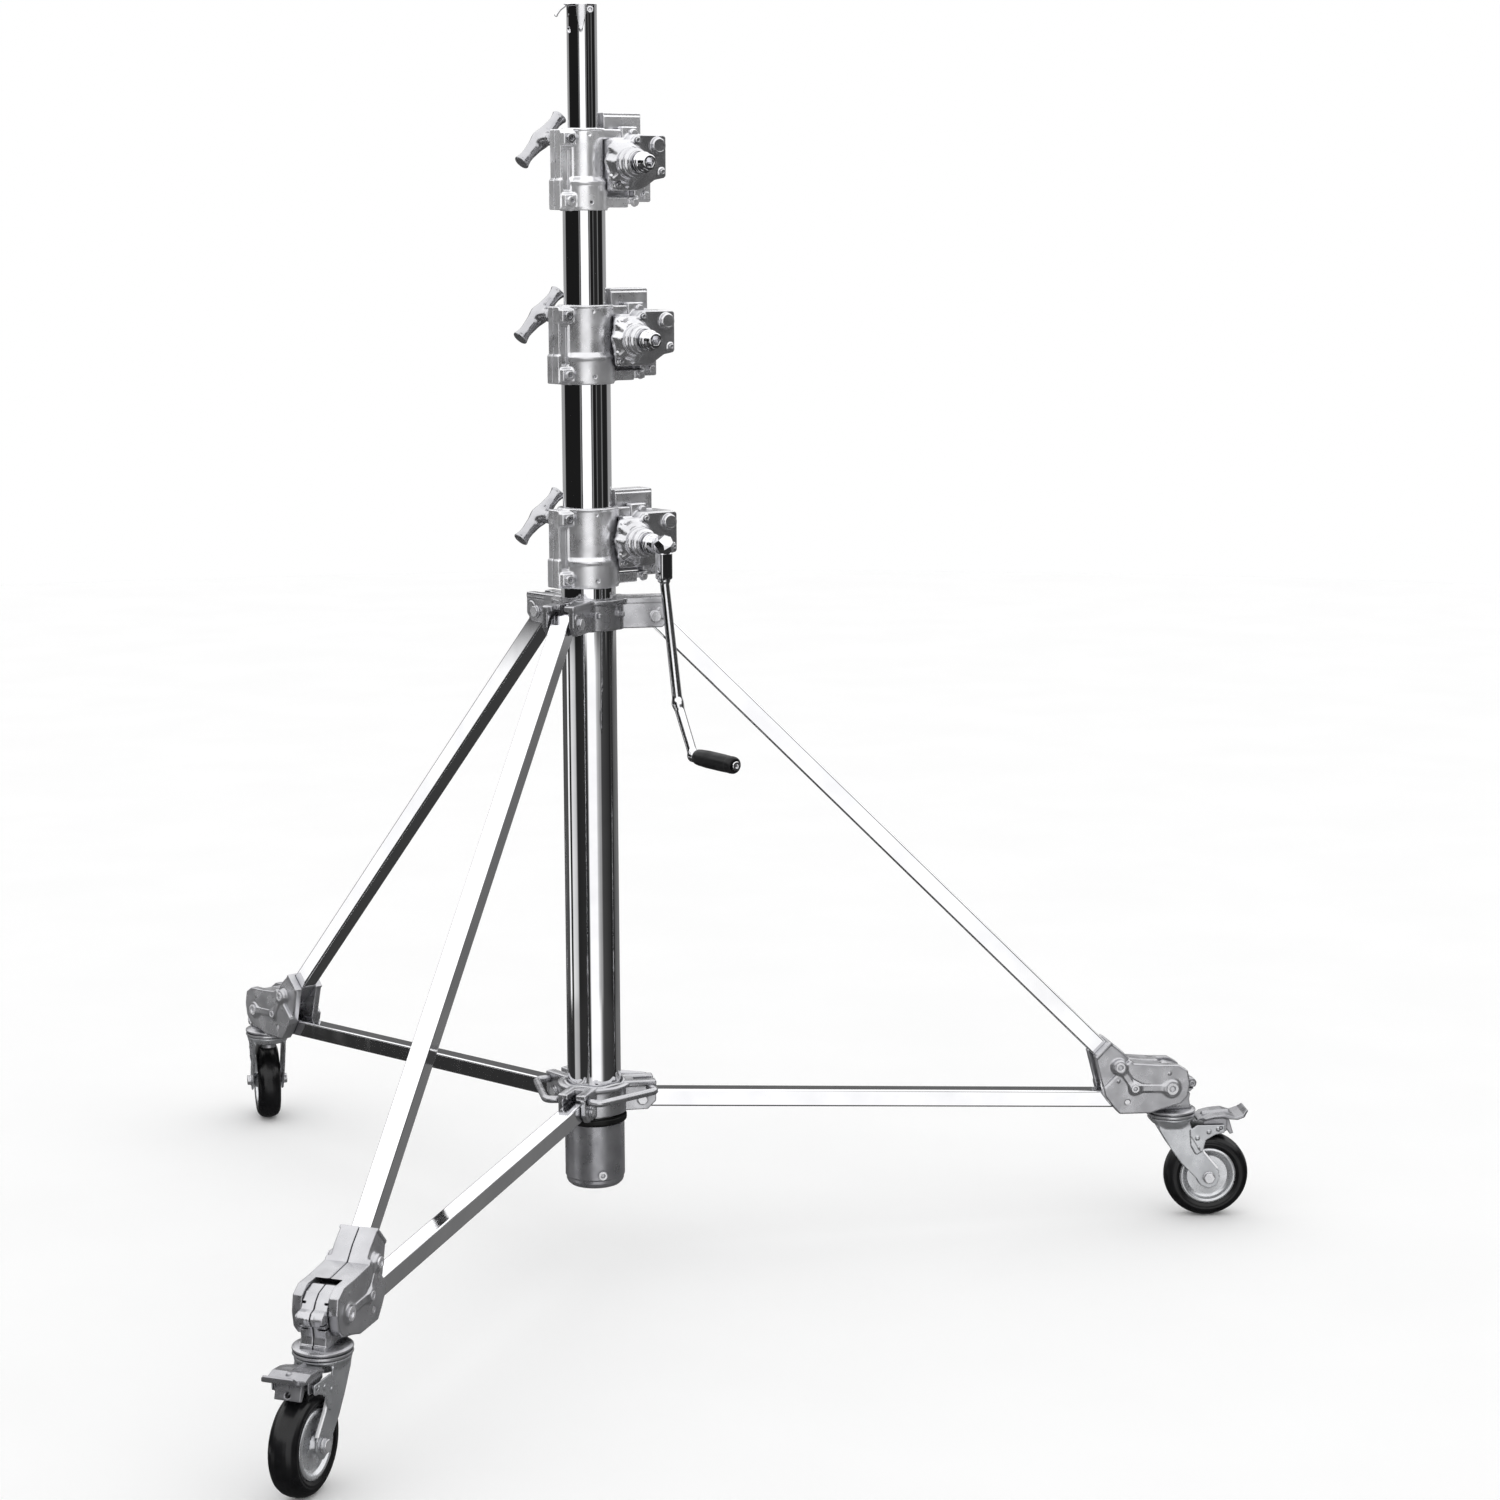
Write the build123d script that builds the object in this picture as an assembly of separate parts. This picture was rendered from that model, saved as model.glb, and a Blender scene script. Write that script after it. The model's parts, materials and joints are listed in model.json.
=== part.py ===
"""Wind-up lighting stand: three-section geared mast on a folding, braced tripod with castors.

Frame: millimetres, +Z up, origin on the mast axis at floor level. Leg 1 lies along +X and
legs 2 and 3 follow at 120 degree steps. Every leg piece is drawn in the leg's own plane
(r outward, w sideways, z up) and turned to its azimuth; every gearbox piece is drawn in the
stage's own frame (n towards the gearbox, q towards the back, z up) and turned likewise.
"""
from build123d import *
import math
import os

# ---------------------------------------------------------------- driving dimensions
LEG_AZIMUTHS = (0.0, 120.0, 240.0)      # deg
CASTER_TRAILS = (-7.2, 92.4, 239.3)     # deg, direction in which each castor trails at rest
GEAR_AZIMUTH = 24.7                     # deg, side of the mast that carries the gearboxes

# telescoping tubes: outer radius, wall, bottom end, top end
OUTER_TUBE = (38.0, 2.5, 110.0, 1061.0)
RISERS = (
    (33.8, 2.4, 138.0, 1338.0),
    (29.1, 2.4, 158.0, 1514.0),
    (20.5, 2.5, 178.0, 1745.0),
)
RISER_TRAVEL = 800.0
GUIDE_GAP = 0.4                         # radial gap of every sliding tube
FOOT_BOLT_Z = 126.0
FOOT_BOLT_R = 4.0
FOOT_BOLT_TURN = 5.8                    # deg, of the bolt's axis from the y axis

# clamp collars: bottom, step, top, radius above the step, radius below it, screw offset from axis
COLLARS = (
    (961.8, 1000.3, 1071.6, 40.9, 42.6, 45.0),
    (1240.8, 1279.2, 1347.8, 37.0, 39.4, 41.0),
    (1474.6, 1514.5, 1584.1, 28.6, 32.6, 34.5),
)
FLANGE_REACH = 13.0                     # flange edge beyond its screws
SPLIT_GAP = 1.6

# rack and pinion
GEAR_MODULE = 1.5
PINION_TEETH = (14, 18, 20)
RACK_HALF_WIDTH = 4.0
PINION_WIDTH = 6.6
SHAFT_R = 4.5
SHAFT_DROP = 46.5                       # pinion axis below the collar top
COVER_FRONT = -43.0                     # q of the cover's back face
NOSE_TIP = -112.0                       # q of the end of the drive socket
COVER_REACH = ((22.0, 75.0), (23.0, 75.0), (18.0, 70.0))

# handles
TEE_OFFSET = 53.0                       # handle hub behind the flange plane
TEE_HALF = 45.0                         # centre to end of the handle's bar
TEE_TILT = 45.0                         # deg
TEE_DROP = 14.0                         # handle axis below the collar top
CRANK_ARM = 282.0
GRIP_LENGTH = 88.0
GRIP_RADIUS = 12.0
SOCKET_R = 14.3                         # bore for the lamp spigot

# tripod linkage, all in a leg's plane
UPPER_PIVOT = (90.5, 920.0)             # strut on the fixed bracket
LOWER_PIVOT = (66.0, 228.0)             # brace on the sliding collar
OUTER_PIVOT = (784.5, 184.0)            # brace in the knuckle
STRUT_SIDE = 26.0
BRACE_SIDE = 25.0
TUBE_WALL = 2.5
TUBE_EDGE = 2.5                         # rounding of the square tubes
BRACE_PLUG = 28.0                       # solid end of a brace beyond its pivot
STRUT_FIX = (771.7, 237.9)              # bolt through strut and knuckle
KNUCKLE_BOLT = (794.8, 204.7)
BLOCK_PIVOT = (851.9, 201.4)            # castor block in the knuckle
PINCH_BOLT = (887.0, 203.5)             # closes the two halves of the castor block
SHELL_WIDTH = 30.0                      # half width over both knuckle shells
MOUTH_WIDTH = 24.5                      # half width where they grip the strut
PIN_CLEARANCE = 0.06

# castors
SWIVEL_R = 861.0
TRAIL = 54.0
WHEEL_R = 62.5
TYRE_WIDTH = 38.0
RIM_R = 44.0
RACE_Z = 153.0                          # plane between the fixed and turning race
FORK_GAP = 23.0                         # half gap between the fork arms
FORK_PLATE = 3.0


# ---------------------------------------------------------------- small helpers
def cyl(radius, z0, z1, x=0.0, y=0.0):
    """Upright cylinder between two heights."""
    return Pos(x, y, (z0 + z1) / 2) * Cylinder(radius, z1 - z0)


def ring(outer, inner, z0, z1, x=0.0, y=0.0):
    """Upright ring between two heights."""
    return cyl(outer, z0, z1, x, y) - cyl(inner, z0 - 1, z1 + 1, x, y)


def block(x0, x1, y0, y1, z0, z1):
    """Axis-aligned box given by its limits."""
    return Pos((x0 + x1) / 2, (y0 + y1) / 2, (z0 + z1) / 2) * Box(x1 - x0, y1 - y0, z1 - z0)


def cross_pin(r, z, radius, w0, w1):
    """Cylinder along the w axis of a leg's plane."""
    return Pos(r, (w0 + w1) / 2, z) * Rot(90, 0, 0) * Cylinder(radius, w1 - w0)


def hexagon(x, z, across, y0, y1):
    """Hexagonal prism along the y axis."""
    outline = RegularPolygon(across / math.sqrt(3), 6)
    return Pos(x, y0, z) * Rot(-90, 0, 0) * extrude(outline, y1 - y0)


def bar(start, end, radius):
    """Round bar between two points."""
    a = Vector(*start)
    b = Vector(*end)
    plane = Plane(origin=a, z_dir=b - a)
    return plane * Pos(0, 0, (b - a).length / 2) * Cylinder(radius, (b - a).length)


def side_plate(points, w0, w1, radius=0.0):
    """Plate with an outline in the (r, z) plane between two w values."""
    outline = make_face(Polyline(*[(r, z) for r, z in points], close=True))
    if radius:
        outline = fillet(outline.vertices(), radius)
    return Pos(0, w1, 0) * Rot(90, 0, 0) * extrude(outline, w1 - w0)


def along(origin, angle, distance, offset=0.0):
    """Point at a distance along a direction in the (r, z) plane, shifted to its left."""
    c = math.cos(math.radians(angle))
    s = math.sin(math.radians(angle))
    return (origin[0] + distance * c - offset * s, origin[1] + distance * s + offset * c)


def turned_profile(points):
    """Solid of revolution about Z from (radius, height) points, closed along the axis."""
    return revolve(Plane.XZ * make_face(Polyline(*points, close=True)), Axis.Z)


def at_azimuth(shape, azimuth):
    """Turn a piece from the drawing plane to its azimuth on the mast."""
    return Rot(0, 0, azimuth) * shape


def save(name, *solids):
    """Write one node; several solids make one group."""
    parts = []
    for solid in solids:
        parts.extend(solid.solids())
    shape = parts[0] if len(parts) == 1 else Compound(children=parts)
    export_step(shape, f"parts/{name}.step")


# ---------------------------------------------------------------- mast tubes and gearing
def rack_tip(stage):
    """Radius of the rack's tooth tips, flush with the tube at the rack's edges."""
    return math.sqrt(RISERS[stage][0] ** 2 - RACK_HALF_WIDTH ** 2)


def pinion_radius(stage):
    """Pitch radius of a stage's pinion."""
    return GEAR_MODULE * PINION_TEETH[stage] / 2


def pinion_axis(stage):
    """Distance n of the drive shaft from the mast axis."""
    return rack_tip(stage) - GEAR_MODULE + pinion_radius(stage)


def shaft_height(stage):
    """Height of the drive shaft."""
    return COLLARS[stage][2] - SHAFT_DROP


def rack(stage):
    """Toothed strip let into a riser, with one tooth space centred on the shaft height."""
    pitch = math.pi * GEAR_MODULE
    tip = rack_tip(stage)
    pitch_line = tip - GEAR_MODULE
    root = pitch_line - 1.25 * GEAR_MODULE
    back = root - 1.0
    slope = math.tan(math.radians(20))
    half_tooth = pitch / 4 - 0.14
    z_mid = shaft_height(stage)
    below = int(RISER_TRAVEL / pitch) + 4
    above = 4
    points = [(back, z_mid - (below + 0.5) * pitch)]
    for index in range(-below, above):
        z = z_mid + (index + 0.5) * pitch
        wide = half_tooth + (pitch_line - root) * slope
        slim = half_tooth - (tip - pitch_line) * slope
        points += [(root, z - wide), (tip, z - slim), (tip, z + slim), (root, z + wide)]
    points.insert(1, (root, points[0][1]))
    end = z_mid + (above + 0.5) * pitch
    points += [(root, end), (back, end)]
    return side_plate(points, -RACK_HALF_WIDTH, RACK_HALF_WIDTH), points[0][1], end


def pinion(stage):
    """Spur pinion on the q axis with straight-flanked teeth slimmer than the rack's spaces."""
    count = PINION_TEETH[stage]
    pitch_r = pinion_radius(stage)
    tip_r = pitch_r + 0.9 * GEAR_MODULE
    root_r = pitch_r - 1.3 * GEAR_MODULE
    points = []
    for index in range(count):
        centre = math.pi + 2 * math.pi * index / count
        for radius, half in ((root_r, 1.55), (pitch_r, 0.98), (tip_r, 0.42)):
            points.append((radius, centre - half / radius))
        for radius, half in ((tip_r, 0.42), (pitch_r, 0.98), (root_r, 1.55)):
            points.append((radius, centre + half / radius))
    outline = [(radius * math.cos(a), radius * math.sin(a)) for radius, a in points]
    gear = side_plate(outline, -PINION_WIDTH / 2, PINION_WIDTH / 2)
    return Pos(pinion_axis(stage), 0, shaft_height(stage)) * gear


def window(stage, width):
    """Opening in a wall through which the pinion reaches the rack."""
    n = pinion_axis(stage)
    z = shaft_height(stage)
    reach = pinion_radius(stage) + 3.5
    return block(rack_tip(stage) - 8, n, -width, width, z - reach, z + reach)


def outer_tube():
    """Fixed mast tube with the first pinion's window."""
    radius, wall, low, high = OUTER_TUBE
    tube = ring(radius, radius - wall, low, high) - at_azimuth(window(0, 5.0), GEAR_AZIMUTH)
    return tube - foot_pin(-50, 50, FOOT_BOLT_R)


def riser(stage):
    """Sliding tube, slotted for its rack, with the rack as a second solid."""
    radius, wall, low, high = RISERS[stage]
    strip, z0, z1 = rack(stage)
    tube = ring(radius, radius - wall, low, high)
    slot = block(0, radius + 5, -RACK_HALF_WIDTH, RACK_HALF_WIDTH, z0, z1)
    tube = tube - slot
    if stage < 2:
        tube = tube - window(stage + 1, 5.0)
    else:
        tube = tube - lock_hole()
    return at_azimuth(tube, GEAR_AZIMUTH), at_azimuth(strip, GEAR_AZIMUTH)


def foot_sleeve():
    """Closed foot on the bottom of the mast, with a stepped and rounded lower edge."""
    radius = OUTER_TUBE[0]
    low = OUTER_TUBE[2]
    profile = [(0, low - 5), (30, low - 5), (35, low - 3), (38, low + 1), (39, low + 7), (42.5, low + 8.2)]
    profile += [(42.5, 197), (41.5, 198), (radius, 198), (radius, low), (0, low)]
    return turned_profile(profile) - foot_pin(-50, 50, FOOT_BOLT_R)


def foot_pin(start, end, radius):
    """Round piece on the foot bolt's axis, between two distances from the mast axis."""
    return at_azimuth(bar((0, start, FOOT_BOLT_Z), (0, end, FOOT_BOLT_Z), radius), FOOT_BOLT_TURN)


def foot_bolt():
    """Cross bolt that holds the foot on the mast."""
    through = foot_pin(-46.0, 46.0, FOOT_BOLT_R)
    return through + foot_pin(-47.5, -42.6, 6.5) + foot_pin(42.6, 47.5, 6.5)


def bumper():
    """Rubber ring on which the sliding collar comes to rest."""
    profile = [(38.05, 198.2), (44.5, 198.2), (46, 199.8), (46, 206), (44.5, 207.6), (38.05, 207.6)]
    return turned_profile(profile)


# ---------------------------------------------------------------- clamp collars and gearboxes
def collar(stage):
    """Split clamp collar with a flange and screw pads on one side and gearbox arms on the other."""
    low, step, top, upper_r, lower_r, screw_n = COLLARS[stage]
    held = OUTER_TUBE if stage == 0 else RISERS[stage - 1]
    tube_top = min(held[3], top - 8)
    profile = [(0, low), (lower_r - 0.8, low), (lower_r, low + 0.8), (lower_r, step - 2)]
    profile += [(upper_r, step + 1), (upper_r, top - 1), (upper_r - 1, top), (0, top)]
    body = turned_profile(profile)
    reach = screw_n + FLANGE_REACH
    body += block(-reach + 2, 0, -13, 13, step, top - 1.5)
    body += block(-reach, 0, -14, 14, low + 1, step)
    for z in (top - TEE_DROP, low + 13):
        body += block(-screw_n - 9, -screw_n + 9, -20, 0, z - 9, z + 9)
    n = pinion_axis(stage)
    body += block(0, n + 12, -26, -14, top - 15, top - 1)
    body += block(0, n + 22, -26, -12, low + 4, low + 18)
    body -= cyl(held[0], low - 1, tube_top)
    body -= cyl(RISERS[stage][0] + GUIDE_GAP, tube_top - 1, top + 1)
    body -= block(-reach - 1, 0, -SPLIT_GAP / 2, SPLIT_GAP / 2, low - 1, top + 1)
    body -= window(stage, 5.0)
    body -= cross_pin(n, shaft_height(stage), SHAFT_R + 1.0, -35, 20)
    for z in (top - TEE_DROP, low + 13):
        body -= cross_pin(-screw_n, z, 3.6, -30, 30)
    screws = clamp_screw(screw_n, low + 13, 13.6)
    return at_azimuth(body, GEAR_AZIMUTH), at_azimuth(screws, GEAR_AZIMUTH)


def clamp_screw(n, z, back):
    """Lower clamp screw, with its socket head on the front pad and a nut behind."""
    screw = cross_pin(-n, z, 3.6, -20, back) + cross_pin(-n, z, 6.3, -26, -20)
    screw -= hexagon(-n, z, 5.0, -27, -22)
    return screw + hexagon(-n, z, 11.0, back, back + 5)


def cover_outline(stage):
    """Outline of the gearbox cover in the (n, z) plane: a raised tab at the right."""
    n = pinion_axis(stage)
    top = COLLARS[stage][2]
    left, right = COVER_REACH[stage]
    return [
        (n - left, top - 83), (n - left, top - 15), (n + 14, top - 15), (n + 20, top - 8),
        (n + right, top - 8), (n + right, top - 66), (n + right - 18, top - 69),
        (n + right - 36, top - 80), (n + right - 46, top - 83),
    ]


def gearbox_housing(stage):
    """Cast housing behind the cover, with the tall rear box and bolted lugs."""
    n = pinion_axis(stage)
    low, _, top, upper_r, lower_r, _ = COLLARS[stage]
    body = side_plate(cover_outline(stage), COVER_FRONT, 4, 4.0)
    left = RISERS[stage][0] + 1.5
    rear = block(left, left + 67, -9, 22, top - 92, top + 22)
    body += fillet(rear.edges().filter_by(Axis.Y), 3.0)
    body += block(n + 12, n + 38, -26, -14, top - 14.9, top + 3)
    body += block(n + 22, n + 40, -26, -12, low + 4, low + 18)
    body += block(n + 34, n + 62, -22, -8, top - 98, top - 70)
    cavity = [(n - 16, top - 74), (n - 16, top - 22), (n + 62, top - 22), (n + 62, top - 60)]
    cavity += [(n + 40, top - 74)]
    body -= side_plate(cavity, COVER_FRONT - 1, -14, 3.0)
    body -= cyl(upper_r + 0.02, low - 30, top + 30)
    body -= cyl(lower_r + 0.02, low - 30, COLLARS[stage][1] + 1.2)
    z = shaft_height(stage)
    body -= cross_pin(n, z, pinion_radius(stage) + 3.0, -14.5, 6)
    body -= cross_pin(n, z, SHAFT_R + PIN_CLEARANCE, 3, 18)
    body -= window(stage, 5.0)
    body -= cyl(RISERS[stage][0] + 1.4, top - 100, top + 30)
    bolts = []
    for bn, bz, face in ((n + 30, top - 6, -26), (n + 31, low + 11, -26), (n + 52, top - 89, -22)):
        bolts.append(hexagon(bn, bz, 10.0, face - 5, face))
    return [at_azimuth(piece, GEAR_AZIMUTH) for piece in (body, *bolts)]


def gearbox_cover(stage):
    """Cover plate with the bearing boss and the long nose around the drive shaft."""
    n = pinion_axis(stage)
    z = shaft_height(stage)
    right = COVER_REACH[stage][1]
    top = COLLARS[stage][2]
    front = COVER_FRONT - 5
    body = side_plate(cover_outline(stage), front, COVER_FRONT, 4.0)
    for radius, q0, q1 in ((29, front - 7, front), (24, front - 14, front - 7)):
        body += cross_pin(n + 3, z + 1, radius, q0, q1)
    for radius, q0, q1 in ((20, -70, -60), (17.5, -74, -70), (19.5, -80, -74), (16.5, -86, -80)):
        body += cross_pin(n, z, radius, q0, q1)
    body += cross_pin(n + right - 15, top - 23, 10.5, front - 6, front)
    body -= cross_pin(n, z, 11.5 + PIN_CLEARANCE, -90, COVER_FRONT + 1)
    screws = []
    left = COVER_REACH[stage][0]
    for sn, sz in ((n - left + 8, top - 24), (n - left + 8, top - 76), (n + right - 8, top - 58)):
        head = cross_pin(sn, sz, 3.6, front - 3.5, front) - hexagon(sn, sz, 3.6, front - 4, front - 1.5)
        screws.append(head)
    return [at_azimuth(piece, GEAR_AZIMUTH) for piece in (body, *screws)]


def drive_shaft(stage):
    """Shaft with the pinion, running from the rear bearing to the square drive socket."""
    n = pinion_axis(stage)
    z = shaft_height(stage)
    shaft = cross_pin(n, z, SHAFT_R, -44, 16) + pinion(stage)
    shaft += cross_pin(n, z, 11.5, -92, -36) + cross_pin(n, z, 14.5, -98, -92)
    shaft += cross_pin(n, z, 11.5, NOSE_TIP, -98)
    shaft -= hexagon(n, z, 12.0, NOSE_TIP - 1, NOSE_TIP + 18)
    return at_azimuth(shaft, GEAR_AZIMUTH)


def tee_handle(stage):
    """Cast T-handle with its clamp stud, tilted across the flange."""
    _, _, top, _, _, screw_n = COLLARS[stage]
    z = top - TEE_DROP
    stud = cross_pin(-screw_n, z, 3.5, -20.1, TEE_OFFSET) + hexagon(-screw_n, z, 10.0, -26, -20.1)
    stud += cross_pin(-screw_n, z, 6.0, 14.2, 24) + cross_pin(-screw_n, z, 8.5, 23, TEE_OFFSET)
    profile = [(0, -TEE_HALF), (11, -TEE_HALF), (11, -TEE_HALF + 2), (7.2, -TEE_HALF + 12), (8.2, -14)]
    profile += [(9.5, 0), (8.2, 14), (7.2, TEE_HALF - 12), (11, TEE_HALF - 2), (11, TEE_HALF), (0, TEE_HALF)]
    grip = turned_profile(profile)
    grip = Pos(-screw_n, TEE_OFFSET, z) * Rot(0, TEE_TILT, 0) * grip
    return at_azimuth(stud + grip, GEAR_AZIMUTH)


def crank():
    """Crank: faceted hub on the drive socket, clevis block, bent arm and the grip's spindle."""
    n = pinion_axis(0)
    z = shaft_height(0)
    q = NOSE_TIP
    hub = cross_pin(n, z, 14.5, q - 16, q - 0.2) + hexagon(n, z, 11.9, q - 0.3, q + 16)
    tip = Pos(n, q - 16, z) * Rot(90, 0, 0) * Cone(14.0, 3.0, 10, align=(Align.CENTER, Align.CENTER, Align.MIN))
    socket = block(n - 10, n + 10, q - 21, q - 3, z - 46, z - 12)
    arm = fillet(socket.edges().filter_by(Axis.Z), 3.0) + hub + tip
    knots = [(n, q - 12, z - 44), (n + 2, q - 40, z - 214), (n + 4, q - 74, z - CRANK_ARM)]
    arm += bar(knots[0], knots[1], 7.0) + bar(knots[1], knots[2], 7.0)
    arm += Pos(*knots[1]) * Sphere(7.0) + Pos(*knots[2]) * Sphere(8.5)
    end = knots[2]
    spindle = cross_pin(end[0], end[2], 4.0, end[1] - GRIP_LENGTH - 12, end[1])
    spindle += cross_pin(end[0], end[2], 6.5, end[1] - GRIP_LENGTH - 14, end[1] - GRIP_LENGTH - 9.5)
    return at_azimuth(arm + spindle, GEAR_AZIMUTH), end


def crank_grip(end):
    """Turning grip on the crank's spindle."""
    profile = [(4.0 + PIN_CLEARANCE, 0), (9.5, 0), (11, 2), (12, 20), (GRIP_RADIUS, 60), (11.5, 84)]
    profile += [(10, GRIP_LENGTH), (7.5, GRIP_LENGTH), (7.5, GRIP_LENGTH - 3), (4.0 + PIN_CLEARANCE, GRIP_LENGTH - 3)]
    grip = turned_profile(profile)
    grip = Pos(end[0], end[1] - 9, end[2]) * Rot(90, 0, 0) * grip
    return at_azimuth(grip, GEAR_AZIMUTH)


def lock_hole():
    """Cross hole for the lamp spigot's locking screw."""
    z = RISERS[2][3] - 31
    return bar((-30, 0, z), (30, 0, z), 4.5)


def top_socket():
    """Receiver plug in the last riser, bored for a 28 mm lamp spigot, with a cross hole."""
    radius, wall, _, high = RISERS[2]
    inner = radius - wall
    profile = [(SOCKET_R, high - 70), (inner, high - 70), (inner, high), (radius, high)]
    profile += [(radius, high + 3), (SOCKET_R, high + 3)]
    return turned_profile(profile) - lock_hole()


def spring_latch():
    """Hooked spring latch over the rim of the top socket."""
    high = RISERS[2][3]
    outline = [(16, high + 3.1), (22, high + 3.1), (30, high - 2), (36, high - 11)]
    outline += [(33.5, high - 12.5), (27.5, high - 4.5), (20.6, high + 0.4), (20.6, high + 3.1)]
    strap = side_plate(outline, -5, 5)
    plate = block(15, 21, -5, 5, high + 3.05, high + 5.4)
    return at_azimuth(strap + plate, 168.0)


# ---------------------------------------------------------------- fixed bracket and sliding collar
def spider(inner, hub_r, low, high, ear_in, ear_out, reach, lip, arm_low, arm_high):
    """Hub with three forked arms; a plate joins each pair of ears at the top."""
    body = ring(hub_r, inner, low, high)
    body += ring(hub_r + lip, inner, high - 5, high)
    for azimuth in LEG_AZIMUTHS:
        outline = [(30, arm_low), (reach - 12, arm_low), (reach, arm_low + 12), (reach, arm_high), (30, arm_high)]
        for side in (-1, 1):
            w0, w1 = sorted((side * ear_in, side * ear_out))
            body += at_azimuth(side_plate(outline, w0, w1), azimuth)
        body += at_azimuth(block(30, reach, -ear_out, ear_out, arm_high - 7, arm_high), azimuth)
    return body - cyl(inner, low - 60, high + 60)


def leg_bracket():
    """Fixed upper bracket: three castings clamped round the mast, parted in the leg planes."""
    body = spider(OUTER_TUBE[0], 47.5, 903, 946, 15.4, 23.0, 112, 5, 904, 946)
    for azimuth in LEG_AZIMUTHS:
        body -= at_azimuth(cross_pin(*UPPER_PIVOT, 5.0, -30, 30), azimuth)
        body -= at_azimuth(block(37, 130, -0.4, 0.4, 890, 960), azimuth)
        body -= at_azimuth(block(96, 130, -9, 9, 930, 960), azimuth)
    return body


def pivot_bolt(pivot, half, radius):
    """Hinge bolt with a hexagon head and nut, through a leg's plane."""
    bolt = cross_pin(*pivot, radius, -half, half)
    bolt += hexagon(*pivot, radius * 3.0, -half - 5, -half)
    return bolt + hexagon(*pivot, radius * 3.0, half, half + 5)


def collar_bolts(pivot, half, radius):
    """The same bolt on every leg."""
    return [at_azimuth(pivot_bolt(pivot, half, radius), azimuth) for azimuth in LEG_AZIMUTHS]


def lower_collar():
    """Sliding collar with forked arms for the braces and a cast loop handle in each gap."""
    body = spider(OUTER_TUBE[0] + GUIDE_GAP, 47.0, 212, 255, 13.2, 20.6, 86, 5, 213, 255)
    for index, azimuth in enumerate(LEG_AZIMUTHS):
        body -= at_azimuth(cross_pin(*LOWER_PIVOT, 4.5, -30, 30), azimuth)
        body -= at_azimuth(block(56, 100, -6.5, 6.5, 245, 262), azimuth)
        body += loop_handle(azimuth, azimuth + 120)
    return body


def loop_handle(first, second):
    """Bent round bar from one arm's ear to the next arm's ear."""
    height = 245.0
    knots = []
    for azimuth, r, w in ((first, 73, 16), (first, 80, 33), (second, 80, -33), (second, 73, -16)):
        turn = math.radians(azimuth)
        x = r * math.cos(turn) - w * math.sin(turn)
        y = r * math.sin(turn) + w * math.cos(turn)
        knots.append((x, y, height))
    route = FilletPolyline(*knots, radius=9)
    section = Plane(origin=knots[0], z_dir=Vector(*knots[1]) - Vector(*knots[0])) * Circle(4.6)
    return sweep(section, route)


# ---------------------------------------------------------------- legs
def square_tube(start, end, side, wall):
    """Square tube between two points of the leg's plane."""
    length = math.dist(start, end)
    angle = math.degrees(math.atan2(end[1] - start[1], end[0] - start[0]))
    outer = Rectangle(side, side)
    outer = fillet(outer.vertices(), TUBE_EDGE)
    inner = Rectangle(side - 2 * wall, side - 2 * wall)
    profile = extrude(outer - inner, length)
    return Pos(start[0], 0, start[1]) * Rot(0, 90 - angle, 0) * profile


def strut_angle():
    """Slope of the strut's own axis."""
    return math.degrees(math.atan2(STRUT_FIX[1] - UPPER_PIVOT[1], STRUT_FIX[0] - UPPER_PIVOT[0]))


def strut():
    """Upper leg member: square tube with an open jaw that hooks on the bracket's bolt."""
    angle = strut_angle()
    end = along(STRUT_FIX, angle, 12)
    tube = square_tube(UPPER_PIVOT, end, STRUT_SIDE, TUBE_WALL)
    half = STRUT_SIDE / 2
    corners = [along(UPPER_PIVOT, angle, d, o) for d, o in ((0, half), (30, half), (30, -half), (0, -half))]
    tip = side_plate(corners, -12.4, 12.4) + cross_pin(*UPPER_PIVOT, half, -12.4, 12.4)
    tip += cross_pin(*UPPER_PIVOT, half, -half, half)
    tube += tip
    jaw = [along(UPPER_PIVOT, angle, d, o) for d, o in ((3, 5.6), (-22, -5.2), (-22, -23.5), (-3, -5.6))]
    jaw_cut = side_plate(jaw, -20, 20) + cross_pin(*UPPER_PIVOT, 5.6, -20, 20)
    tube -= jaw_cut
    return tube - cross_pin(*STRUT_FIX, 5.0, -20, 20)


def brace():
    """Lower leg member between the sliding collar and the knuckle: a plugged tube with round ends."""
    length = math.dist(LOWER_PIVOT, OUTER_PIVOT)
    angle = math.degrees(math.atan2(OUTER_PIVOT[1] - LOWER_PIVOT[1], OUTER_PIVOT[0] - LOWER_PIVOT[0]))
    inside = BRACE_SIDE - 2 * TUBE_WALL
    tube = extrude(SlotCenterToCenter(length, BRACE_SIDE), BRACE_SIDE / 2, both=True)
    tube = fillet(tube.faces().filter_by(Axis.Z).edges(), TUBE_EDGE)
    tube -= Box(length - 2 * BRACE_PLUG, inside, inside)
    tube -= Pos(-length / 2, 0, 0) * Cylinder(4.5 + PIN_CLEARANCE, 2 * BRACE_SIDE)
    tube -= Pos(length / 2, 0, 0) * Cylinder(4.0 + PIN_CLEARANCE, 2 * BRACE_SIDE)
    middle = along(LOWER_PIVOT, angle, length / 2)
    return Pos(middle[0], 0, middle[1]) * Rot(90, 0, 0) * Rot(0, 0, angle) * tube


SHELL_OUTLINE = (
    (735.6, 252.6), (758.2, 275.6), (778.8, 258.6), (793.1, 242.0), (833.9, 237.5), (862.0, 236.0),
    (876.5, 227.0), (880.5, 207.0), (877.0, 187.5), (867.0, 177.0), (835.3, 169.4), (820.3, 165.0),
    (773.0, 166.5), (762.0, 179.0), (751.0, 194.5),
)


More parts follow.
